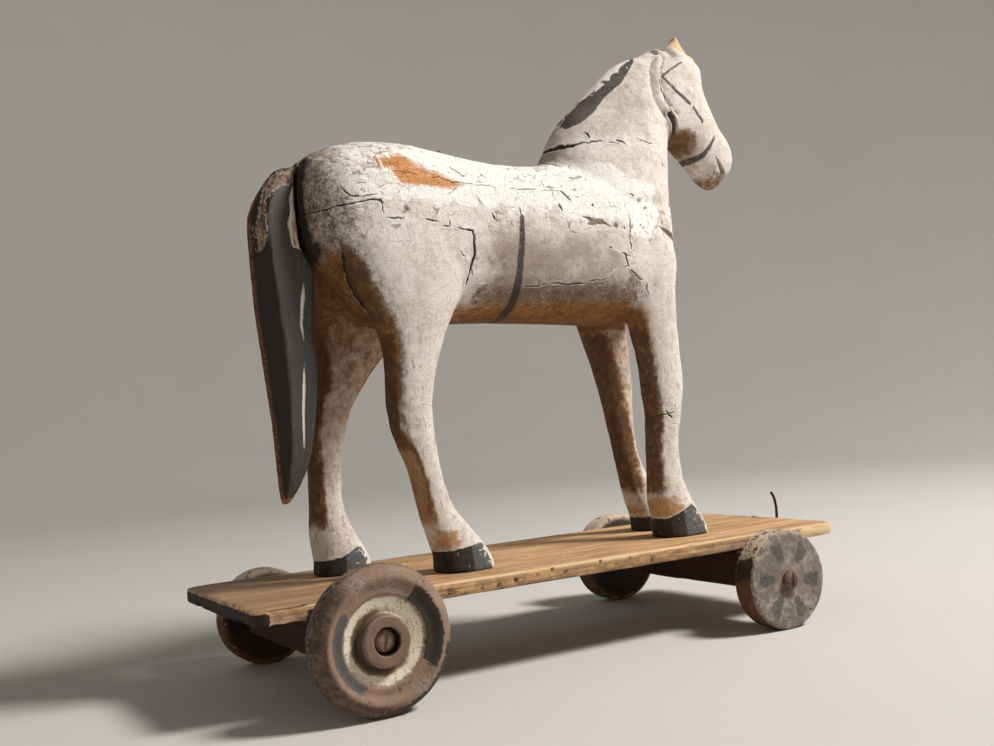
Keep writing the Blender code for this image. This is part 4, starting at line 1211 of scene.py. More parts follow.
    hoof = f.mark("hoof") + fleck.swing(2.2)
    grey = (f.mark("grey") + mottle.swing(1.4)).step(0.1, 0.9)
    chipped = f.grain(3.0, 5, 0.65, shift=1.9) + f.mark("toe") * 0.30 + grey * 0.05
    hoof_colour = f.mix(speck.step(0.45, 0.75) * 0.35, c.hoof_paint, c.ground)
    hoof_colour = f.mix((1 - grey) * 0.75, hoof_colour, c.crack)
    slate = f.mix(fleck.step(0.45, 0.65) * 0.35, c.hoof_grey, c.ground)
    hoof_colour = f.mix(grey * 0.85, hoof_colour, slate)
    f.coat(hoof.step(-0.3, 0.3), f.mix(chipped.step(0.66, 0.70), hoof_colour, c.gesso))

    painted = mane.step(-0.35, 0.35).most(hoof.step(-0.3, 0.3))
    bare_share = bare.step(-1.0, 2.0)
    rough = 0.86 - painted * 0.28 - bare_share * 0.28 + speck.swing(0.2)
    grit = (speck * 1.3 + dust * 0.5 + fleck * 0.5) * (1 - bare_share * 0.8)
    height = (grit + mottle * 1.1 + streak * 0.3 - crack.step(-0.2, 0.2) * 0.8
              - dots * 0.5 - fine_cracks * 1.1 + (plate * lift + chip * lift * 0.5) * broken * 1.2)
    return f.done(rough, f.relief(height, 0.5), specular=0.3)


class WOODENHORSE_OT_horse(bpy.types.Operator):
    """Skins, carves, ages and paints the six glued pieces of the horse"""

    bl_idname = "wooden_horse.horse"
    bl_label = "Horse"

    def execute(self, context):
        surface = start_piece("carved_body", HORSE_NODES, sizes().horse_grid, 45, grow=0.25)
        whole = surface.thing
        shape_horse(surface)
        surface.save()
        for outline, near, wide in ((MOUTH_SLIT, -FAR, -MOUTH_DEPTH_Y),
                                    (MOUTH_SLIT, MOUTH_DEPTH_Y, FAR), (LIP_NOTCH, -FAR, FAR)):
            mouth = plate_block("mouth", outline, near, wide, 0.0)
            cut(whole, mouth, "DIFFERENCE")
            discard(mouth)
        refine(whole, 1.6)
        refine(whole, 0.7)
        surface = Surface(whole)
        carve_skin(surface)
        surface.points[:, 2] = np.maximum(surface.points[:, 2], BOARD_TOP + HOOF_CLEARANCE)
        settle(surface, HORSE_NODES)

        finish = horse_finish()
        pieces = {"body": whole}
        for name, outline, near, wide in glue_blocks():
            piece = new_thing(f"carved_{name}", whole.data.copy())
            block = plate_block("block", outline, near, wide, JOINT_INSET)
            cut(piece, block, "INTERSECT")
            discard(block)
            pieces[name] = piece
        for name, outline, near, wide in glue_blocks():
            room = plate_block("room", outline, near, wide, JOINT_ROOM)
            cut(whole, room, "DIFFERENCE")
            discard(room)
        for node, piece in pieces.items():
            close_up(piece, finish, 50)
            mark_horse(Surface(piece))
            stand_for(piece, node, FIXED_BODY)
        return {"FINISHED"}


# ---------------------------------------------------------------------------------------------
# The tail


def tail_finish():
    c = colours()
    f = Finish("tail paint")
    edge, spine = f.mark("edge"), f.mark("spine")
    fine = f.grain(1.4, 4, 0.65)
    long = f.grain(3.2, 5, 0.62, stretch=(1, 1, 5), shift=2.0)
    cloud = f.grain(24, 3)
    f.colour = f.mix(fine.step(0.35, 0.75) * 0.35, c.tail_paint, c.hoof_paint)
    f.coat((long * 0.7 + cloud * 0.3).step(0.56, 0.74) * 0.3, c.ground)
    worn = (spine + long.swing(1.3) + fine.swing(0.6)).step(0.35, 0.75)
    f.coat(worn * 0.25, c.ground)
    # Painted shade: the tail's back-facing facets darkened to near black.
    f.coat((f.mark("rear") + fine.swing(0.4)).step(0.05, 0.7) * 0.95, c.crack)
    rubbed = (spine * 0.5 + edge * 0.5 + long.swing(1.8) + fine.swing(1.2)).step(0.42, 0.62)
    f.coat(rubbed * 0.6, f.mix(fine.step(0.4, 0.6), c.tail_wood, c.dark_paint_and_shade))
    rim = (f.mark("brink") + long.swing(1.2) + fine.swing(0.8)).step(0.4, 0.65)
    f.coat(rim * 0.85, f.mix(fine.step(0.42, 0.6), c.tail_wood, c.crack))
    chips = edge * 0.9 + long.swing(2.4) + fine.swing(1.1)
    f.coat(chips.step(0.62, 0.70), f.mix(fine.step(0.4, 0.6), c.gesso_aged, c.tail_wood))
    ragged = long.swing(4.0) + fine.swing(2.0)
    flaked = f.mark("flaked") + ragged * 1.6
    under = f.mix((long * 0.6 + fine * 0.6).step(0.48, 0.70) * 0.8, c.gesso_shade, c.tail_wood)
    under = f.mix((f.grain(2.2, 5, 0.65, shift=6.0) + long.swing(0.6)).step(0.48, 0.60) * 0.8,
                  under, c.tail_paint)
    f.coat(flaked.step(-0.3, 0.3), under)
    bared = f.mark("bared") + ragged * 0.5
    f.coat(bared.step(-0.3, 0.3),
           f.mix((long * 0.7 + cloud * 0.3).step(0.35, 0.6), c.gesso_aged, c.tail_wood))
    border = bared.step(-0.5, 0.0) * bared.step(1.6, 0.9)
    border = border.most(
        flaked.step(-0.4, 0.0) * flaked.step(1.6, 0.9) * fine.step(0.45, 0.6) * 0.6)
    streak = (f.mark("streak") + ragged * 0.35).step(-0.25, 0.25)
    f.coat(border.most(streak) * 0.9, c.gesso)
    tip = (f.mark("tip") + (fine - 0.5)).step(0.4, 0.7)
    f.coat(tip, c.board_dark)
    lost = flaked.step(-0.3, 0.3).most(bared.step(-0.3, 0.3)).most(streak)
    rough = 0.58 + lost * 0.25 + fine.swing(0.25)
    bump = long * 0.8 + fine * 0.6 - chips.step(0.62, 0.68) * 0.5 - lost * 1.2
    return f.done(rough, f.relief(bump, 0.45), specular=0.4)


class WOODENHORSE_OT_tail(bpy.types.Operator):
    """Works the six-sided tail with its chipped edges"""

    bl_idname = "wooden_horse.tail"
    bl_label = "Tail"

    def execute(self, context):
        surface = start_piece("carved_tail", ("tail",), sizes().tail_grid, 6)
        p = surface.points
        x, y, z = p.T.copy()
        flare = np.interp(z, (212, 228, 243, 256, 285, 298, 306), (0, 4, 8, 4.5, 4.5, 2.5, 0))
        side = np.where(z > 258, ease(y, -3, -8), ease(y, 6, -2))
        p[:, 0] += flare * side * ease(x, -172, -156)
        edge = surface.edges_out(12)
        side_view = np.stack([x, z], 1)
        right = y < 0
        flaked = np.where(right, inside_outline(side_view, TAIL_FLAKED),
                          np.maximum(NOT_HERE, (z - 296) * 0.8))
        bared = np.where(right, inside_outline(side_view, TAIL_BARED), NOT_HERE)
        streak = np.full(len(p), NOT_HERE)
        for path, width in TAIL_STREAKS:
            gap, share = along_path(side_view, path)
            half = width * np.minimum(1.0, 0.25 + 3 * np.minimum(share, 1 - share))
            streak = np.maximum(streak, np.where(right, half - gap, NOT_HERE))
        spine = ease(x, -176, -181) * ease(np.abs(y), 6, 3)
        chip = ease(edge * 1.9 + roughness(p * (1, 1, 0.3), 6.0, 201, 4) * 0.8, 0.45, 0.8)
        depth = chip * 0.4 + 0.25 * roughness(p * (1, 1, 0.25), 9.0, 205, 3)
        depth += ease(flaked, -0.5, 0.8) * 0.5 * (0.6 + roughness(p, 4.0, 207, 3))
        depth += ease(bared, -0.4, 0.4) * 0.7 + ease(streak, -0.4, 0.3) * 0.4
        surface.press(depth)
        settle(surface, ("tail",))
        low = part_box("tail")[0].z / MM
        gap = behind_outline(surface.points[:, 0], z, low, 3)
        # rear marks the back-facing facets for their painted shade.
        surface.mark(edge=surface.blurred(edge, 1), spine=spine, brink=ease(gap, 2.6, 0.8),
                     rear=ease(surface.normals(2)[:, 0], -0.1, -0.6),
                     flaked=np.clip(flaked, -6, 6), bared=np.clip(bared, -6, 6),
                     streak=np.clip(streak, -3, 3), tip=ease(z, low + 6, low + 1))
        close_up(surface.thing, tail_finish(), 40)
        stand_for(surface.thing, "tail", FIXED_BODY)
        return {"FINISHED"}


# ---------------------------------------------------------------------------------------------
# The board and its beams


# Middles of the worm holes (x, y, z)
WORM_HOLES = ((2, -68, 57.4), (41, -68, 53.2), (-33, -68, 57.2), (-59, -68, 54.4),
              (-120, -68, 55.5), (-60, 68, 55), (77, 68, 54), (60, -44, 59.3), (-20, -58, 59.3))

# Dark knots and stains along the board's right side (x, z, size)
BOARD_SPOTS = ((-58.6, 54.2, 2.4), (-70, 53.4, 2.0), (-80.6, 52.9, 1.8), (-101.6, 53.8, 3.4),
               (-44, 56, 2.6), (-24, 54.6, 2.2), (14, 55, 2.4), (24, 56.6, 1.8))


def board_finish():
    c = colours()
    f = Finish("board wood")
    edge, along, top = f.mark("edge"), f.mark("along"), f.mark("top")
    long = f.grain(2.4, 5, 0.6, stretch=(26, 1.0, 1.0), twist=0.4)
    wide = f.grain(9, 4, 0.55, stretch=(12, 1.0, 1.0), shift=4.0, twist=0.6)
    fine = f.grain(1.0, 3, 0.6, stretch=(6, 1, 1))
    cloud = f.grain(45, 3)
    mottle = f.grain(5.0, 5, 0.65, stretch=(1.8, 1, 1), shift=3.0)
    worn, end = f.mark("worn"), f.mark("end")
    f.colour = f.mix((long * 0.6 + wide * 0.5).step(0.42, 0.72), c.board_wood, c.board_dark)
    f.coat(wide.step(0.56, 0.74) * 0.5, c.gesso_aged)
    f.coat((cloud + fine * 0.2).step(0.60, 0.85) * 0.4, c.board_dark)
    lines = f.grain(1.3, 4, 0.6, stretch=(34, 1.0, 1.0), shift=9.0, twist=0.3)
    f.coat(lines.step(0.56, 0.68) * 0.5, c.board_dark)
    f.coat(lines.step(0.40, 0.30) * 0.35, c.ear_wood)
    f.coat((worn + wide.swing(0.9) + mottle.swing(0.8)).step(0.3, 1.0) * 0.6, c.grime_and_shade)
    f.coat((mottle + cloud.swing(0.5)).step(0.44, 0.62) * (0.62 - top * 0.44), c.grime_and_shade)
    f.coat((f.mark("spot") + fine.swing(1.2) + (mottle - 0.5)).step(0.2, 0.9) * 0.7, c.dark_paint_and_shade)
    f.coat(fine.step(0.60, 0.70) * 0.5, c.dark_paint_and_shade)
    # Bare wood rubbed through on the edges, which along the top edges also serves as painted
    # highlight.
    bare = (edge * (1.5 - end * 0.9) - end * 0.5 + long.swing(1.0) + cloud.swing(0.8)
            + (mottle - 0.5) * (0.8 + end * 3.0)).step(0.25, 0.6)
    f.coat(bare * 0.7, c.ear_wood)
    dark = (along + wide.swing(0.7) + long.swing(0.5) + mottle.swing(0.6)
            - top * 0.35).step(0.40, 0.75)
    f.coat(dark * (1 - bare), c.dark_paint_and_shade)
    # Painted shade: the board's back end darkened to near black.
    f.coat(end * dark * (1 - bare) * 0.6, c.crack)
    f.coat(f.mark("hole"), c.crack)
    rough = 0.7 + fine.swing(0.3) - wide * 0.1
    bump = long * 0.8 + fine * 0.4 + lines * 0.5 + mottle * (1 - top) * 0.8
    return f.done(rough, f.relief(bump, 0.4), specular=0.35)


class WOODENHORSE_OT_board(bpy.types.Operator):
    """Works the board: grain, chipped edges and worm holes"""

    bl_idname = "wooden_horse.board"
    bl_label = "Board"

    def execute(self, context):
        surface = start_piece("worn_board", ("board",), sizes().board_grid, 3)
        edge = surface.edges_out(6)
        p = surface.points
        x, y, z = p.T
        near = ease(edge, 0.05, 0.35)
        chip = ease(roughness(p * (0.5, 1, 1), 9.0, 301, 4), 0.25, 0.75)
        depth = near * (0.25 + chip * 1.5)
        depth += 0.14 * roughness(p * (0.06, 1, 1), 3.0, 305, 3)
        depth += 0.25 * roughness(p, 60.0, 307, 2)
        splinter = ease(x, 166, 172) * ease(y, -60, -65)
        depth += splinter * 0.5 * lumps(p * (0.3, 1, 1), 6.0, 311)
        from_back = x - BOARD_BACK + 1.5 * roughness(p, 6.0, 315, 2)
        scoop = ease(from_back, 5, 9) * ease(from_back, 31, 25) * ease(y, -58, -64)
        depth += scoop * (0.7 + 1.3 * lumps(p, 5.0, 313))
        rim = (ease(from_back, 3, 6) * ease(from_back, 33, 28) * ease(z, 57.6, 58.4)
               * ease(np.abs(y + 64), 2.4, 0.8))
        hole = np.zeros(len(p))
        radius = sizes().worm_hole / MM
        for middle in WORM_HOLES:
            gap = np.linalg.norm(p - middle, axis=1)
            hole = np.maximum(hole, ease(gap, radius + 0.7, radius - 0.2))
        depth += hole * 1.2
        surface.press(np.maximum(depth, 0.0))
        settle(surface, ("board",))

        below = BOARD_TOP - z
        sides = ease(below, 1.2, 3.0)
        back = ease(x, BOARD_BACK + 26, BOARD_BACK + 2)
        along = np.maximum(back * (0.35 + 0.65 * sides), ease(x, -90, -150) * sides * 0.75)
        along = np.maximum(along, ease(below, 8.0, 9.0) * 0.6) * (1 - scoop)
        edge = np.maximum(edge * ease(below, 5, 2.5), splinter * 0.5 * sides)
        spot = rim
        for middle_x, middle_z, size in BOARD_SPOTS:
            gap = np.hypot((x - middle_x) * 0.8, z - middle_z) + roughness(p, 2.4, 317, 2)
            spot = np.maximum(spot, ease(gap, size, 0.2 * size) * (y < -64))
        top = ease(below, 1, 0)
        # end marks the board's back end, which is darkened as painted shade.
        surface.mark(spot=spot, edge=edge, along=along, top=top, hole=hole,
                     worn=ease(x, -100, -185) * top * 1.1, end=ease(from_back, 13, 4))
        close_up(surface.thing, board_finish(), 45)
        stand_for(surface.thing, "board", FIXED_BODY)
        return {"FINISHED"}


def beam_finish():
    c = colours()
    f = Finish("beam wood")
    edge = f.mark("edge")
    long = f.grain(2.6, 5, 0.62, stretch=(1, 22, 1))
    fine = f.grain(1.1, 4, 0.65)
    cloud = f.grain(22, 3)
    f.colour = f.mix((long * 0.7 + cloud * 0.4).step(0.42, 0.72), c.beam_wood, c.dark_paint_and_shade)
    f.coat((edge * 1.6 + fine.swing(1.6)).step(0.35, 0.7) * 0.6, c.tread_wood)
    f.coat(fine.step(0.62, 0.75) * 0.6, c.crack)
    return f.done(0.72 + fine.swing(0.3), f.relief(long + fine * 0.5, 0.5), specular=0.35)


class WOODENHORSE_OT_beams(bpy.types.Operator):
    """Works the two rough axle beams"""

    bl_idname = "wooden_horse.beams"
    bl_label = "Axle beams"

    def execute(self, context):
        finish = beam_finish()
        for end in ("rear", "front"):
            node = f"{end}_axle_beam"
            surface = start_piece(f"rough_{node}", (node,), sizes().beam_grid, 3)
            edge = surface.edges_out(6)
            p = surface.points
            chip = ease(roughness(p, 8.0, 401, 4), 0.2, 0.8)
            depth = ease(edge, 0.05, 0.35) * (0.25 + chip * 1.3)
            depth += 0.2 * (1 + roughness(p * (1, 0.08, 1), 3.4, 405, 3))
            surface.press(np.maximum(depth, 0.0))
            settle(surface, (node,))
            surface.mark(edge=edge)
            close_up(surface.thing, finish, 45)
            stand_for(surface.thing, node, FIXED_BODY)
        return {"FINISHED"}


# ---------------------------------------------------------------------------------------------
# The wheels


TYRE_GROOVE = 27.4       # radius of the shallow groove in the turned wheel's tyre


def wheel_measures(surface, node):
    """Radius, angle and depth under the outer face for each point, in mm and radians."""
    low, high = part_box(node)
    middle = (low + high) / 2 / MM
    side = 1 if middle.y > 0 else -1
    face = (high.y if side > 0 else low.y) / MM
    x, y, z = surface.points.T
    radius = np.hypot(x - middle.x, z - middle.z)
    angle = np.arctan2(z - middle.z, (x - middle.x) * -side)
    return radius, angle, (face - y) * side


def turned_finish():
    c = colours()
    f = Finish("turned wheel paint")
    r, depth, edge = f.mark("radius"), f.mark("depth"), f.mark("edge")
    band = f.mark("band")
    fine = f.grain(1.1, 4, 0.68)
    mottle = f.grain(4.0, 5, 0.6)
    cloud = f.grain(16, 3)
    f.colour = f.mix((mottle * 0.7 + cloud * 0.5).step(0.48, 0.78), c.turned_paint, c.hub_brown)
    f.coat((cloud + fine.swing(0.5)).step(0.50, 0.68) * 0.22, c.gesso_aged)
    slate = (f.mark("slate") + mottle.swing(1.3) + fine.swing(1.0)).step(0.35, 0.62)
    f.coat(slate * 0.85, f.mix(0.45, c.hoof_grey, c.tyre_black))
    turn = f.node("CombineXYZ", None, {"X": f.mark("across") * 16.0, "Y": f.mark("up") * 16.0,
                                       "Z": r * 0.16}).outputs[0]
    brush = f.value(f.node("TexNoise", None, {"Vector": turn, "Scale": 1.0, "Detail": 3.0})
                    .outputs["Fac"])
    black = (band + mottle.swing(1.0) + brush.swing(1.8) + (fine - 0.5)).step(0.35, 0.60)
    f.coat(black * 0.92, c.tyre_black)
    # Painted shade, with dirt, on the tyre's left shoulder, which faces away from the light.
    shoulder = (f.mark("shoulder") + mottle.swing(0.6)).step(0.05, 0.75)
    f.coat(shoulder * 0.85, f.mix(mottle.step(0.35, 0.75), c.dark_paint_and_shade, c.grime_and_shade))
    tread = depth.step(4.5, 7.5) * r.step(35.5, 37.0)
    peppered = (f.grain(2.6, 4, 0.6, shift=5.0) + cloud.swing(0.5)).step(0.50, 0.57)
    f.coat(tread * 0.55, f.mix(cloud.step(0.4, 0.6), c.grime_and_shade, c.ground))
    f.coat(tread * peppered * 0.85, c.tyre_black)
    flecks = (f.grain(1.7, 4, 0.7, shift=12.0) + cloud.swing(0.35)).step(0.585, 0.65)
    f.coat(flecks * 0.5, c.tyre_black)
    # The dish reaches from 14 to 23 mm off the axis, the hub to 14 and the screw's hole to 8
    dish = r.step(23.4, 22.4) * r.step(13.6, 14.4)
    # The side of the dish where the hub's painted shadow falls; the dust also gathers most there.
    hub_shadow_side = f.mark("hub_shadow_side")
    dust = mottle * 0.7 + (20.5 - r).step(0.0, 6.0) * (0.15 + hub_shadow_side * 1.1) + fine * 0.3
    cream = f.mix((dust + (r - 21.3).step(0.0, 1.2) * 0.3).step(0.62, 1.02), c.dish_cream, c.grime_and_shade)
    cream = f.mix((fine + (r - 20.0).step(0.0, 4.0) * 0.08).step(0.62, 0.70) * 0.7, cream, c.crack)
    # Painted shadow of the hub across the dish.
    deep = ((19.5 - r).step(0.0, 5.0) * hub_shadow_side + mottle.swing(0.5)).step(0.2, 0.8)
    cream = f.mix((brush + (r - 21.5).step(0.0, 1.5) * 0.12).step(0.60, 0.68) * 0.6, cream, c.grime_and_shade)
    cream = f.mix(flecks * 0.75, cream, c.grime_and_shade)
    cream = f.mix(deep * 0.8, cream, c.crack)
    f.coat(dish, cream)
    hub = r.step(14.4, 13.5)
    # Painted shade on the hub's wall on its shadow side.
    side = depth.step(2.0, 4.5) * hub_shadow_side
    f.coat(hub, f.mix(mottle.step(0.45, 0.8) * 0.3, c.hub_brown, c.tyre_black))
    f.coat(hub * side * 0.8, c.crack)
    f.coat((edge * 1.5 + (fine - 0.5)).step(0.25, 0.6) * 0.35, c.gesso_aged)
    f.coat((-edge).step(0.10, 0.35) * 0.6, c.crack)
    # Painted shade inside the screw's hole.
    f.coat(r.step(8.2, 7.2) * depth.step(0.6, 2.5), c.crack)
    height = mottle * 0.8 + fine * 0.6 - tread * peppered * 0.5
    return f.done(0.66 + fine.swing(0.4), f.relief(height, 0.4), specular=0.4)


def plain_finish():
    c = colours()
    f = Finish("plain wheel paint")
    r, depth, edge = f.mark("radius"), f.mark("depth"), f.mark("edge")
    fine = f.grain(1.1, 4, 0.68)
    mottle = f.grain(4.2, 5, 0.62)
    cloud = f.grain(18, 3)
    f.colour = f.mix((mottle * 0.7 + cloud * 0.4).step(0.46, 0.76) * 0.5, c.plain_paint,
                     c.gesso_aged)
    daub = f.grain(3.0, 5, 0.62, shift=7.0)
    smudge = f.mark("petal") * 1.05 + mottle.swing(2.0) + daub.swing(2.2) + fine.swing(0.6)
    f.coat(smudge.step(0.50, 0.85) * 0.75, c.petal_paint)
    # A darker patch below and behind the screw.
    f.coat((f.mark("below_screw") + mottle.swing(0.8)).step(0.2, 0.8) * 0.75, c.dark_paint_and_shade)
    f.coat((fine + mottle.swing(0.3)).step(0.60, 0.72) * 0.55, c.tyre_black)
    f.coat(r.step(13, 7) * 0.5, c.hub_brown)
    tread = depth.step(0.8, 2.2)
    peeled = f.grain(7, 5, 0.6, shift=2.0) + f.mark("crown") * 0.16 + fine.swing(0.3)
    peeled = peeled.step(0.50, 0.58)
    side = f.mix(peeled, f.mix(cloud.step(0.4, 0.6), c.tread_wood, c.grime_and_shade), c.tread_cream)
    side = f.mix((mottle + fine.swing(0.5)).step(0.5, 0.7) * 0.4, side, c.grime_and_shade)
    peppered = f.grain(2.4, 4, 0.6, shift=8.0) + cloud.swing(0.5) + f.mark("flaky") * 0.06
    side = f.mix(peppered.step(0.60, 0.66) * f.mark("flaky") * 0.85, side, c.tyre_black)
    side = f.mix((1 - f.mark("crown")) * (cloud * 0.5 + mottle * 0.6).step(0.15, 0.5) * 0.95, side,
                 c.tread_wood)
    # Painted shade on a band of the tread, strongest on the front right wheel.
    side = f.mix((f.mark("tread_shade") * f.mark("flaky") + daub.swing(2.4)).step(0.2, 0.9) * 0.85, side,
                 c.crack)
    f.coat(tread, side)
    # Painted shade: the wheel's inner face, under the board, darkened to near black.
    f.coat(f.mark("back") * 0.9, c.crack)
    f.coat((edge * 1.5 + (fine - 0.5) + (daub - 0.5)).step(0.2, 0.5) * 0.75, c.tread_cream)
    holes = f.pits(7.5, shift=1.0).step(0.11, 0.07) * daub.step(0.42, 0.5)
    f.coat(holes, c.crack)
    height = mottle * 0.8 + fine * 0.6 - holes * 2.0 + tread * peeled * 0.6
    return f.done(0.76 + fine.swing(0.3), f.relief(height, 0.4), specular=0.35)


class WOODENHORSE_OT_wheels(bpy.types.Operator):
    """Works the turned wheel and the three plain ones"""

    bl_idname = "wooden_horse.wheels"
    bl_label = "Wheels"

    def execute(self, context):
        turned, plain = turned_finish(), plain_finish()
        for number, name in enumerate(WHEELS):
            node = f"wheel_{name}"
            is_turned = name == "rear_right"
            surface = start_piece(f"worn_{node}", (node,), sizes().wheel_grid, 4)
            edge = surface.edges_out(6)
            radius, angle, depth_in = wheel_measures(surface, node)
            p = surface.points
            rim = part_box(node)[1].z / MM / 2
            wide = (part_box(node)[1].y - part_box(node)[0].y) / MM
            bump = 0.22 * (1 + roughness(p, 7.0, 501 + number, 4))
            chips = ease(roughness(p, 6.0, 511 + number, 3), 0.2, 0.8)
            bump += ease(edge, 0.08, 0.4) * (0.15 + chips)
            around = np.stack([radius * 0.15, depth_in, np.zeros_like(radius)], 1)
            bump += 0.12 * roughness(around + 50 * number, 2.4, 521, 2)
            bump *= ease(radius, 5.0, 9.0)
            bump *= 1 - 0.75 * ease(radius, rim - 4.0, rim - 1.0) * ease(depth_in, 0.5, 3.0)
            if is_turned:
                bump += bell(radius - TYRE_GROOVE, 2.6) * ease(depth_in, 8, 5)
            surface.press(np.maximum(bump, 0.0))
            settle(surface, (node,))

            def towards(degrees):
                return np.cos(angle - math.radians(degrees))

            petal = ease(0.5 + 0.5 * np.cos(angle * 6 + 0.7), 0.45, 0.85)
            petal = petal * ease(radius, 9, 15) * ease(radius, rim - 2, rim - 9)
            tread_in = ease(depth_in, 7.0, 4.5)
            band = ease(radius, 23.4, 24.2) * ease(radius, 34.0, 31.5)
            band = np.maximum(band * ease(towards(11), 0.66, 0.80) * tread_in,
                              ease(towards(-52), 0.55, 0.85) * ease(radius, 34.0, 36.5) * 0.9)
            slate = ease(radius, 23.2, 23.9) * ease(radius, 30.0, 28.0) * tread_in
            height = p[:, 2] + 3.5 * roughness(p, 6.0, 531 + number, 3)
            crown = (1.4, 1.62) if "right" in name else (1.0, 1.3)
            # The tyre's left shoulder, the hub's shadow side, the plain wheels' inner faces and the
            # dark band on their treads are marked for painted shade.
            surface.mark(
                radius=radius, depth=depth_in, edge=edge, petal=petal, band=band,
                slate=slate * ease(towards(192), 0.55, 0.75), hub_shadow_side=0.5 + 0.5 * towards(215),
                back=ease(depth_in, wide - 3.0, wide - 1.0) * ease(radius, rim - 2, rim - 5),
                shoulder=ease(towards(200), -0.1, 0.7) * ease(radius, 30, 35),
                below_screw=ease(towards(-112), 0.5, 0.95) * ease(radius, 15, 9),
                tread_shade=ease(height, rim * 1.02, rim * 1.2) * ease(height, rim * 1.62, rim * 1.48),
                flaky=np.full(len(p), 1.0 if name == "front_right" else 0.3),
                across=np.cos(angle), up=np.sin(angle),
                crown=ease(height, rim * crown[0], rim * crown[1]),
            )
            close_up(surface.thing, turned if is_turned else plain, 45)
            stand_for(surface.thing, node, f"{name}_wheel")
        return {"FINISHED"}


# ---------------------------------------------------------------------------------------------
# Iron


def iron_finish(name, under, over, scale, metallic):
    f = Finish(name)
    fine = f.grain(0.5 * scale, 5, 0.7)
    mottle = f.grain(2.0 * scale, 5, 0.65)
    f.colour = f.mix((mottle * 0.7 + fine * 0.5).step(0.45, 0.75), under, over)
    f.coat(fine.step(0.60, 0.72) * 0.6, colours().crack)
    return f.done(0.6 + fine.swing(0.4), f.relief(fine + mottle, 0.22), metallic=metallic,
                  specular=0.5)


class WOODENHORSE_OT_iron(bpy.types.Operator):
    """Works the four rusty screws, the wire hook and the tack"""

    bl_idname = "wooden_horse.iron"
    bl_label = "Screws, hook and tack"

    def execute(self, context):
        c = colours()
        rust = iron_finish("rusty iron", c.iron, c.rust, 1.0, 0.35)
        dusty = iron_finish("dusty iron", c.rust, c.turned_paint, 1.0, 0.2)
        wire = iron_finish("dark wire", c.iron, c.dark_paint_and_shade, 0.8, 0.5)
        pale = iron_finish("pale tack", c.tack, c.gesso_aged, 1.0, 0.1)
        rows = [(f"wheel_screw_{name}", dusty if name == "rear_right" else rust, "rusty_iron", 0.10)
                for name in WHEELS]
        rows += [("pull_hook", wire, "dark_wire", -0.14), ("front_tack", pale, "pale_tack", 0.05)]
        for number, (node, finish, slot, pitting) in enumerate(rows):
            surface = start_piece(f"aged_{node}", (node,), sizes().iron_grid, 4)
            surface.press(pitting * (1 + roughness(surface.points, 1.8, 601 + number, 3)))
            settle(surface, (node,))
            close_up(surface.thing, finish, 50)
            stand_for(surface.thing, node, FIXED_BODY)
        return {"FINISHED"}


# ---------------------------------------------------------------------------------------------
# Stage


CAMERA_PLACE = (-0.39849, -0.63824, 0.15371)
CAMERA_FORWARD = (0.508466, 0.860454, 0.032876)
CAMERA_ROLL = -4.184
CAMERA_LENS = 41.07
SENSOR_WIDTH = 36.0
FLOOR_SIDES = 96


def aim(thing, place, target):
    thing.location = place
    direction = Vector(target) - Vector(place)
    thing.rotation_euler = direction.to_track_quat("-Z", "Y").to_euler()


def add_lamp(name, place, target, size, power, colour):
    lamp = bpy.data.lights.new(name, "AREA")
    lamp.shape = "RECTANGLE"
    lamp.size, lamp.size_y = size
    lamp.energy = power
    lamp.color = colour
    thing = bpy.data.objects.new(name, lamp)
    bpy.context.scene.collection.objects.link(thing)
    aim(thing, place, target)


def floor_finish():
    f = Finish("pale floor")
    soft = f.grain(300, 2)
    f.colour = f.mix(soft.step(0.3, 0.7) * 0.25, colours().floor, (0.56, 0.55, 0.53))
    return f.done(0.85 + soft.swing(0.1), specular=0.2)


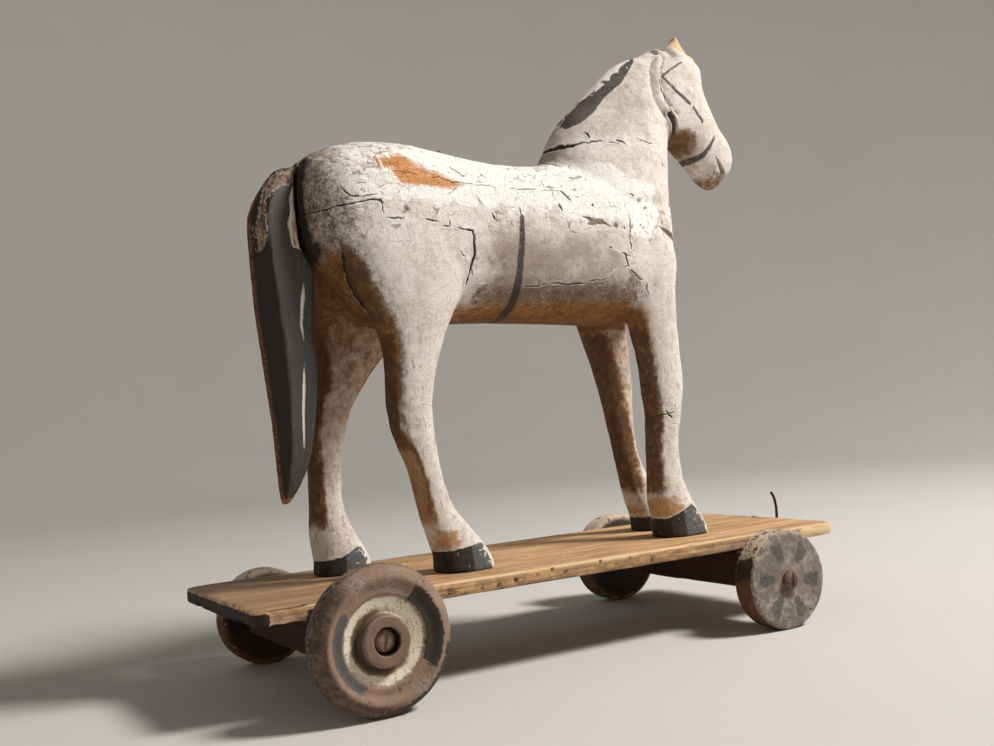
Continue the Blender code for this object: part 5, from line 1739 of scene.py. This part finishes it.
class WOODENHORSE_OT_stage(bpy.types.Operator):
    """Sets the pale floor with its swept-up back, the lights and the camera"""

    bl_idname = "wooden_horse.stage"
    bl_label = "Stage"

    def execute(self, context):
        scene = context.scene
        mesh = bpy.data.meshes.new("floor")
        sweep, flat = 1.2, 1.6
        rings = [(radius, 0.0) for radius in (0.5, 1.0, 1.4, flat)]
        rings += [(flat + sweep * math.sin(turn), sweep * (1 - math.cos(turn)))
                  for turn in np.linspace(0.12, math.pi / 2, 12)]
        rings.append((flat + sweep, 4.0))
        bm = bmesh.new()
        rows = []
        for radius, height in rings:
            rows.append([bm.verts.new((radius * math.cos(a), radius * math.sin(a), height))
                         for a in np.linspace(0, 2 * math.pi, FLOOR_SIDES + 1)[:-1]])
        bm.faces.new(rows[0])
        for low, high in zip(rows, rows[1:]):
            join_rows(bm, low, high)
        bmesh.ops.recalc_face_normals(bm, faces=bm.faces)
        if rows[0][0].link_faces[0].normal.z < 0:
            bmesh.ops.reverse_faces(bm, faces=bm.faces)
        bm.to_mesh(mesh)
        bm.free()
        mesh.shade_smooth()
        floor = new_thing("floor", mesh)
        mesh.materials.append(floor_finish())

        target = (0.0, 0.0, 0.2)
        add_lamp("key light", (1.20, -0.92, 1.70), target, (0.5, 0.5), 61, (1.0, 0.975, 0.94))
        add_lamp("fill light", (-1.2, -1.4, 0.9), target, (1.6, 1.2), 0.7, (1.0, 0.93, 0.84))
        add_lamp("back light", (-0.6, 1.4, 1.2), target, (1.4, 1.0), 2.0, (0.98, 0.98, 1.0))
        world = bpy.data.worlds.new("soft room")
        world.use_nodes = True
        world.node_tree.nodes["Background"].inputs["Color"].default_value = (1.0, 0.92, 0.84, 1.0)
        world.node_tree.nodes["Background"].inputs["Strength"].default_value = 0.08
        scene.world = world
        scene.view_settings.view_transform = "Standard"

        camera = bpy.data.cameras.new("camera")
        camera.lens = CAMERA_LENS
        camera.sensor_width = SENSOR_WIDTH
        camera.clip_start = 0.01
        thing = bpy.data.objects.new("camera", camera)
        scene.collection.objects.link(thing)
        forward = Vector(CAMERA_FORWARD).normalized()
        right = forward.cross(Vector((0, 0, 1))).normalized()
        up = right.cross(forward)
        roll = math.radians(CAMERA_ROLL)
        across = right * math.cos(roll) + up * math.sin(roll)
        upward = up * math.cos(roll) - right * math.sin(roll)
        turned = Matrix((across, upward, -forward)).transposed().to_4x4()
        thing.matrix_world = Matrix.Translation(CAMERA_PLACE) @ turned
        scene.camera = thing
        return {"FINISHED"}


# ---------------------------------------------------------------------------------------------
# Add-on


class WOODENHORSE_PT_panel(bpy.types.Panel):
    """Lists the toy's sizes, colours and pieces"""

    bl_idname = "WOODENHORSE_PT_panel"
    bl_label = "Wooden Horse"
    bl_space_type = "VIEW_3D"
    bl_region_type = "UI"
    bl_category = "Wooden Horse"

    def draw(self, context):
        layout = self.layout
        for operator in OPERATORS:
            layout.operator(operator.bl_idname)
        for group in (sizes(), colours()):
            box = layout.box()
            for name in group.__annotations__:
                box.prop(group, name)


OPERATORS = (
    WOODENHORSE_OT_horse,
    WOODENHORSE_OT_tail,
    WOODENHORSE_OT_board,
    WOODENHORSE_OT_beams,
    WOODENHORSE_OT_wheels,
    WOODENHORSE_OT_iron,
    WOODENHORSE_OT_stage,
)
CLASSES = (WoodenHorseSizes, WoodenHorseColours, *OPERATORS, WOODENHORSE_PT_panel)


def register():
    for cls in CLASSES:
        bpy.utils.register_class(cls)
    bpy.types.Scene.wooden_horse_sizes = bpy.props.PointerProperty(type=WoodenHorseSizes)
    bpy.types.Scene.wooden_horse_colours = bpy.props.PointerProperty(type=WoodenHorseColours)


def unregister():
    del bpy.types.Scene.wooden_horse_colours
    del bpy.types.Scene.wooden_horse_sizes
    for cls in reversed(CLASSES):
        bpy.utils.unregister_class(cls)


def main():
    register()
    bpy.ops.wooden_horse.horse()
    bpy.ops.wooden_horse.tail()
    bpy.ops.wooden_horse.board()
    bpy.ops.wooden_horse.beams()
    bpy.ops.wooden_horse.wheels()
    bpy.ops.wooden_horse.iron()
    bpy.ops.wooden_horse.stage()


if __name__ == "__main__":
    main()
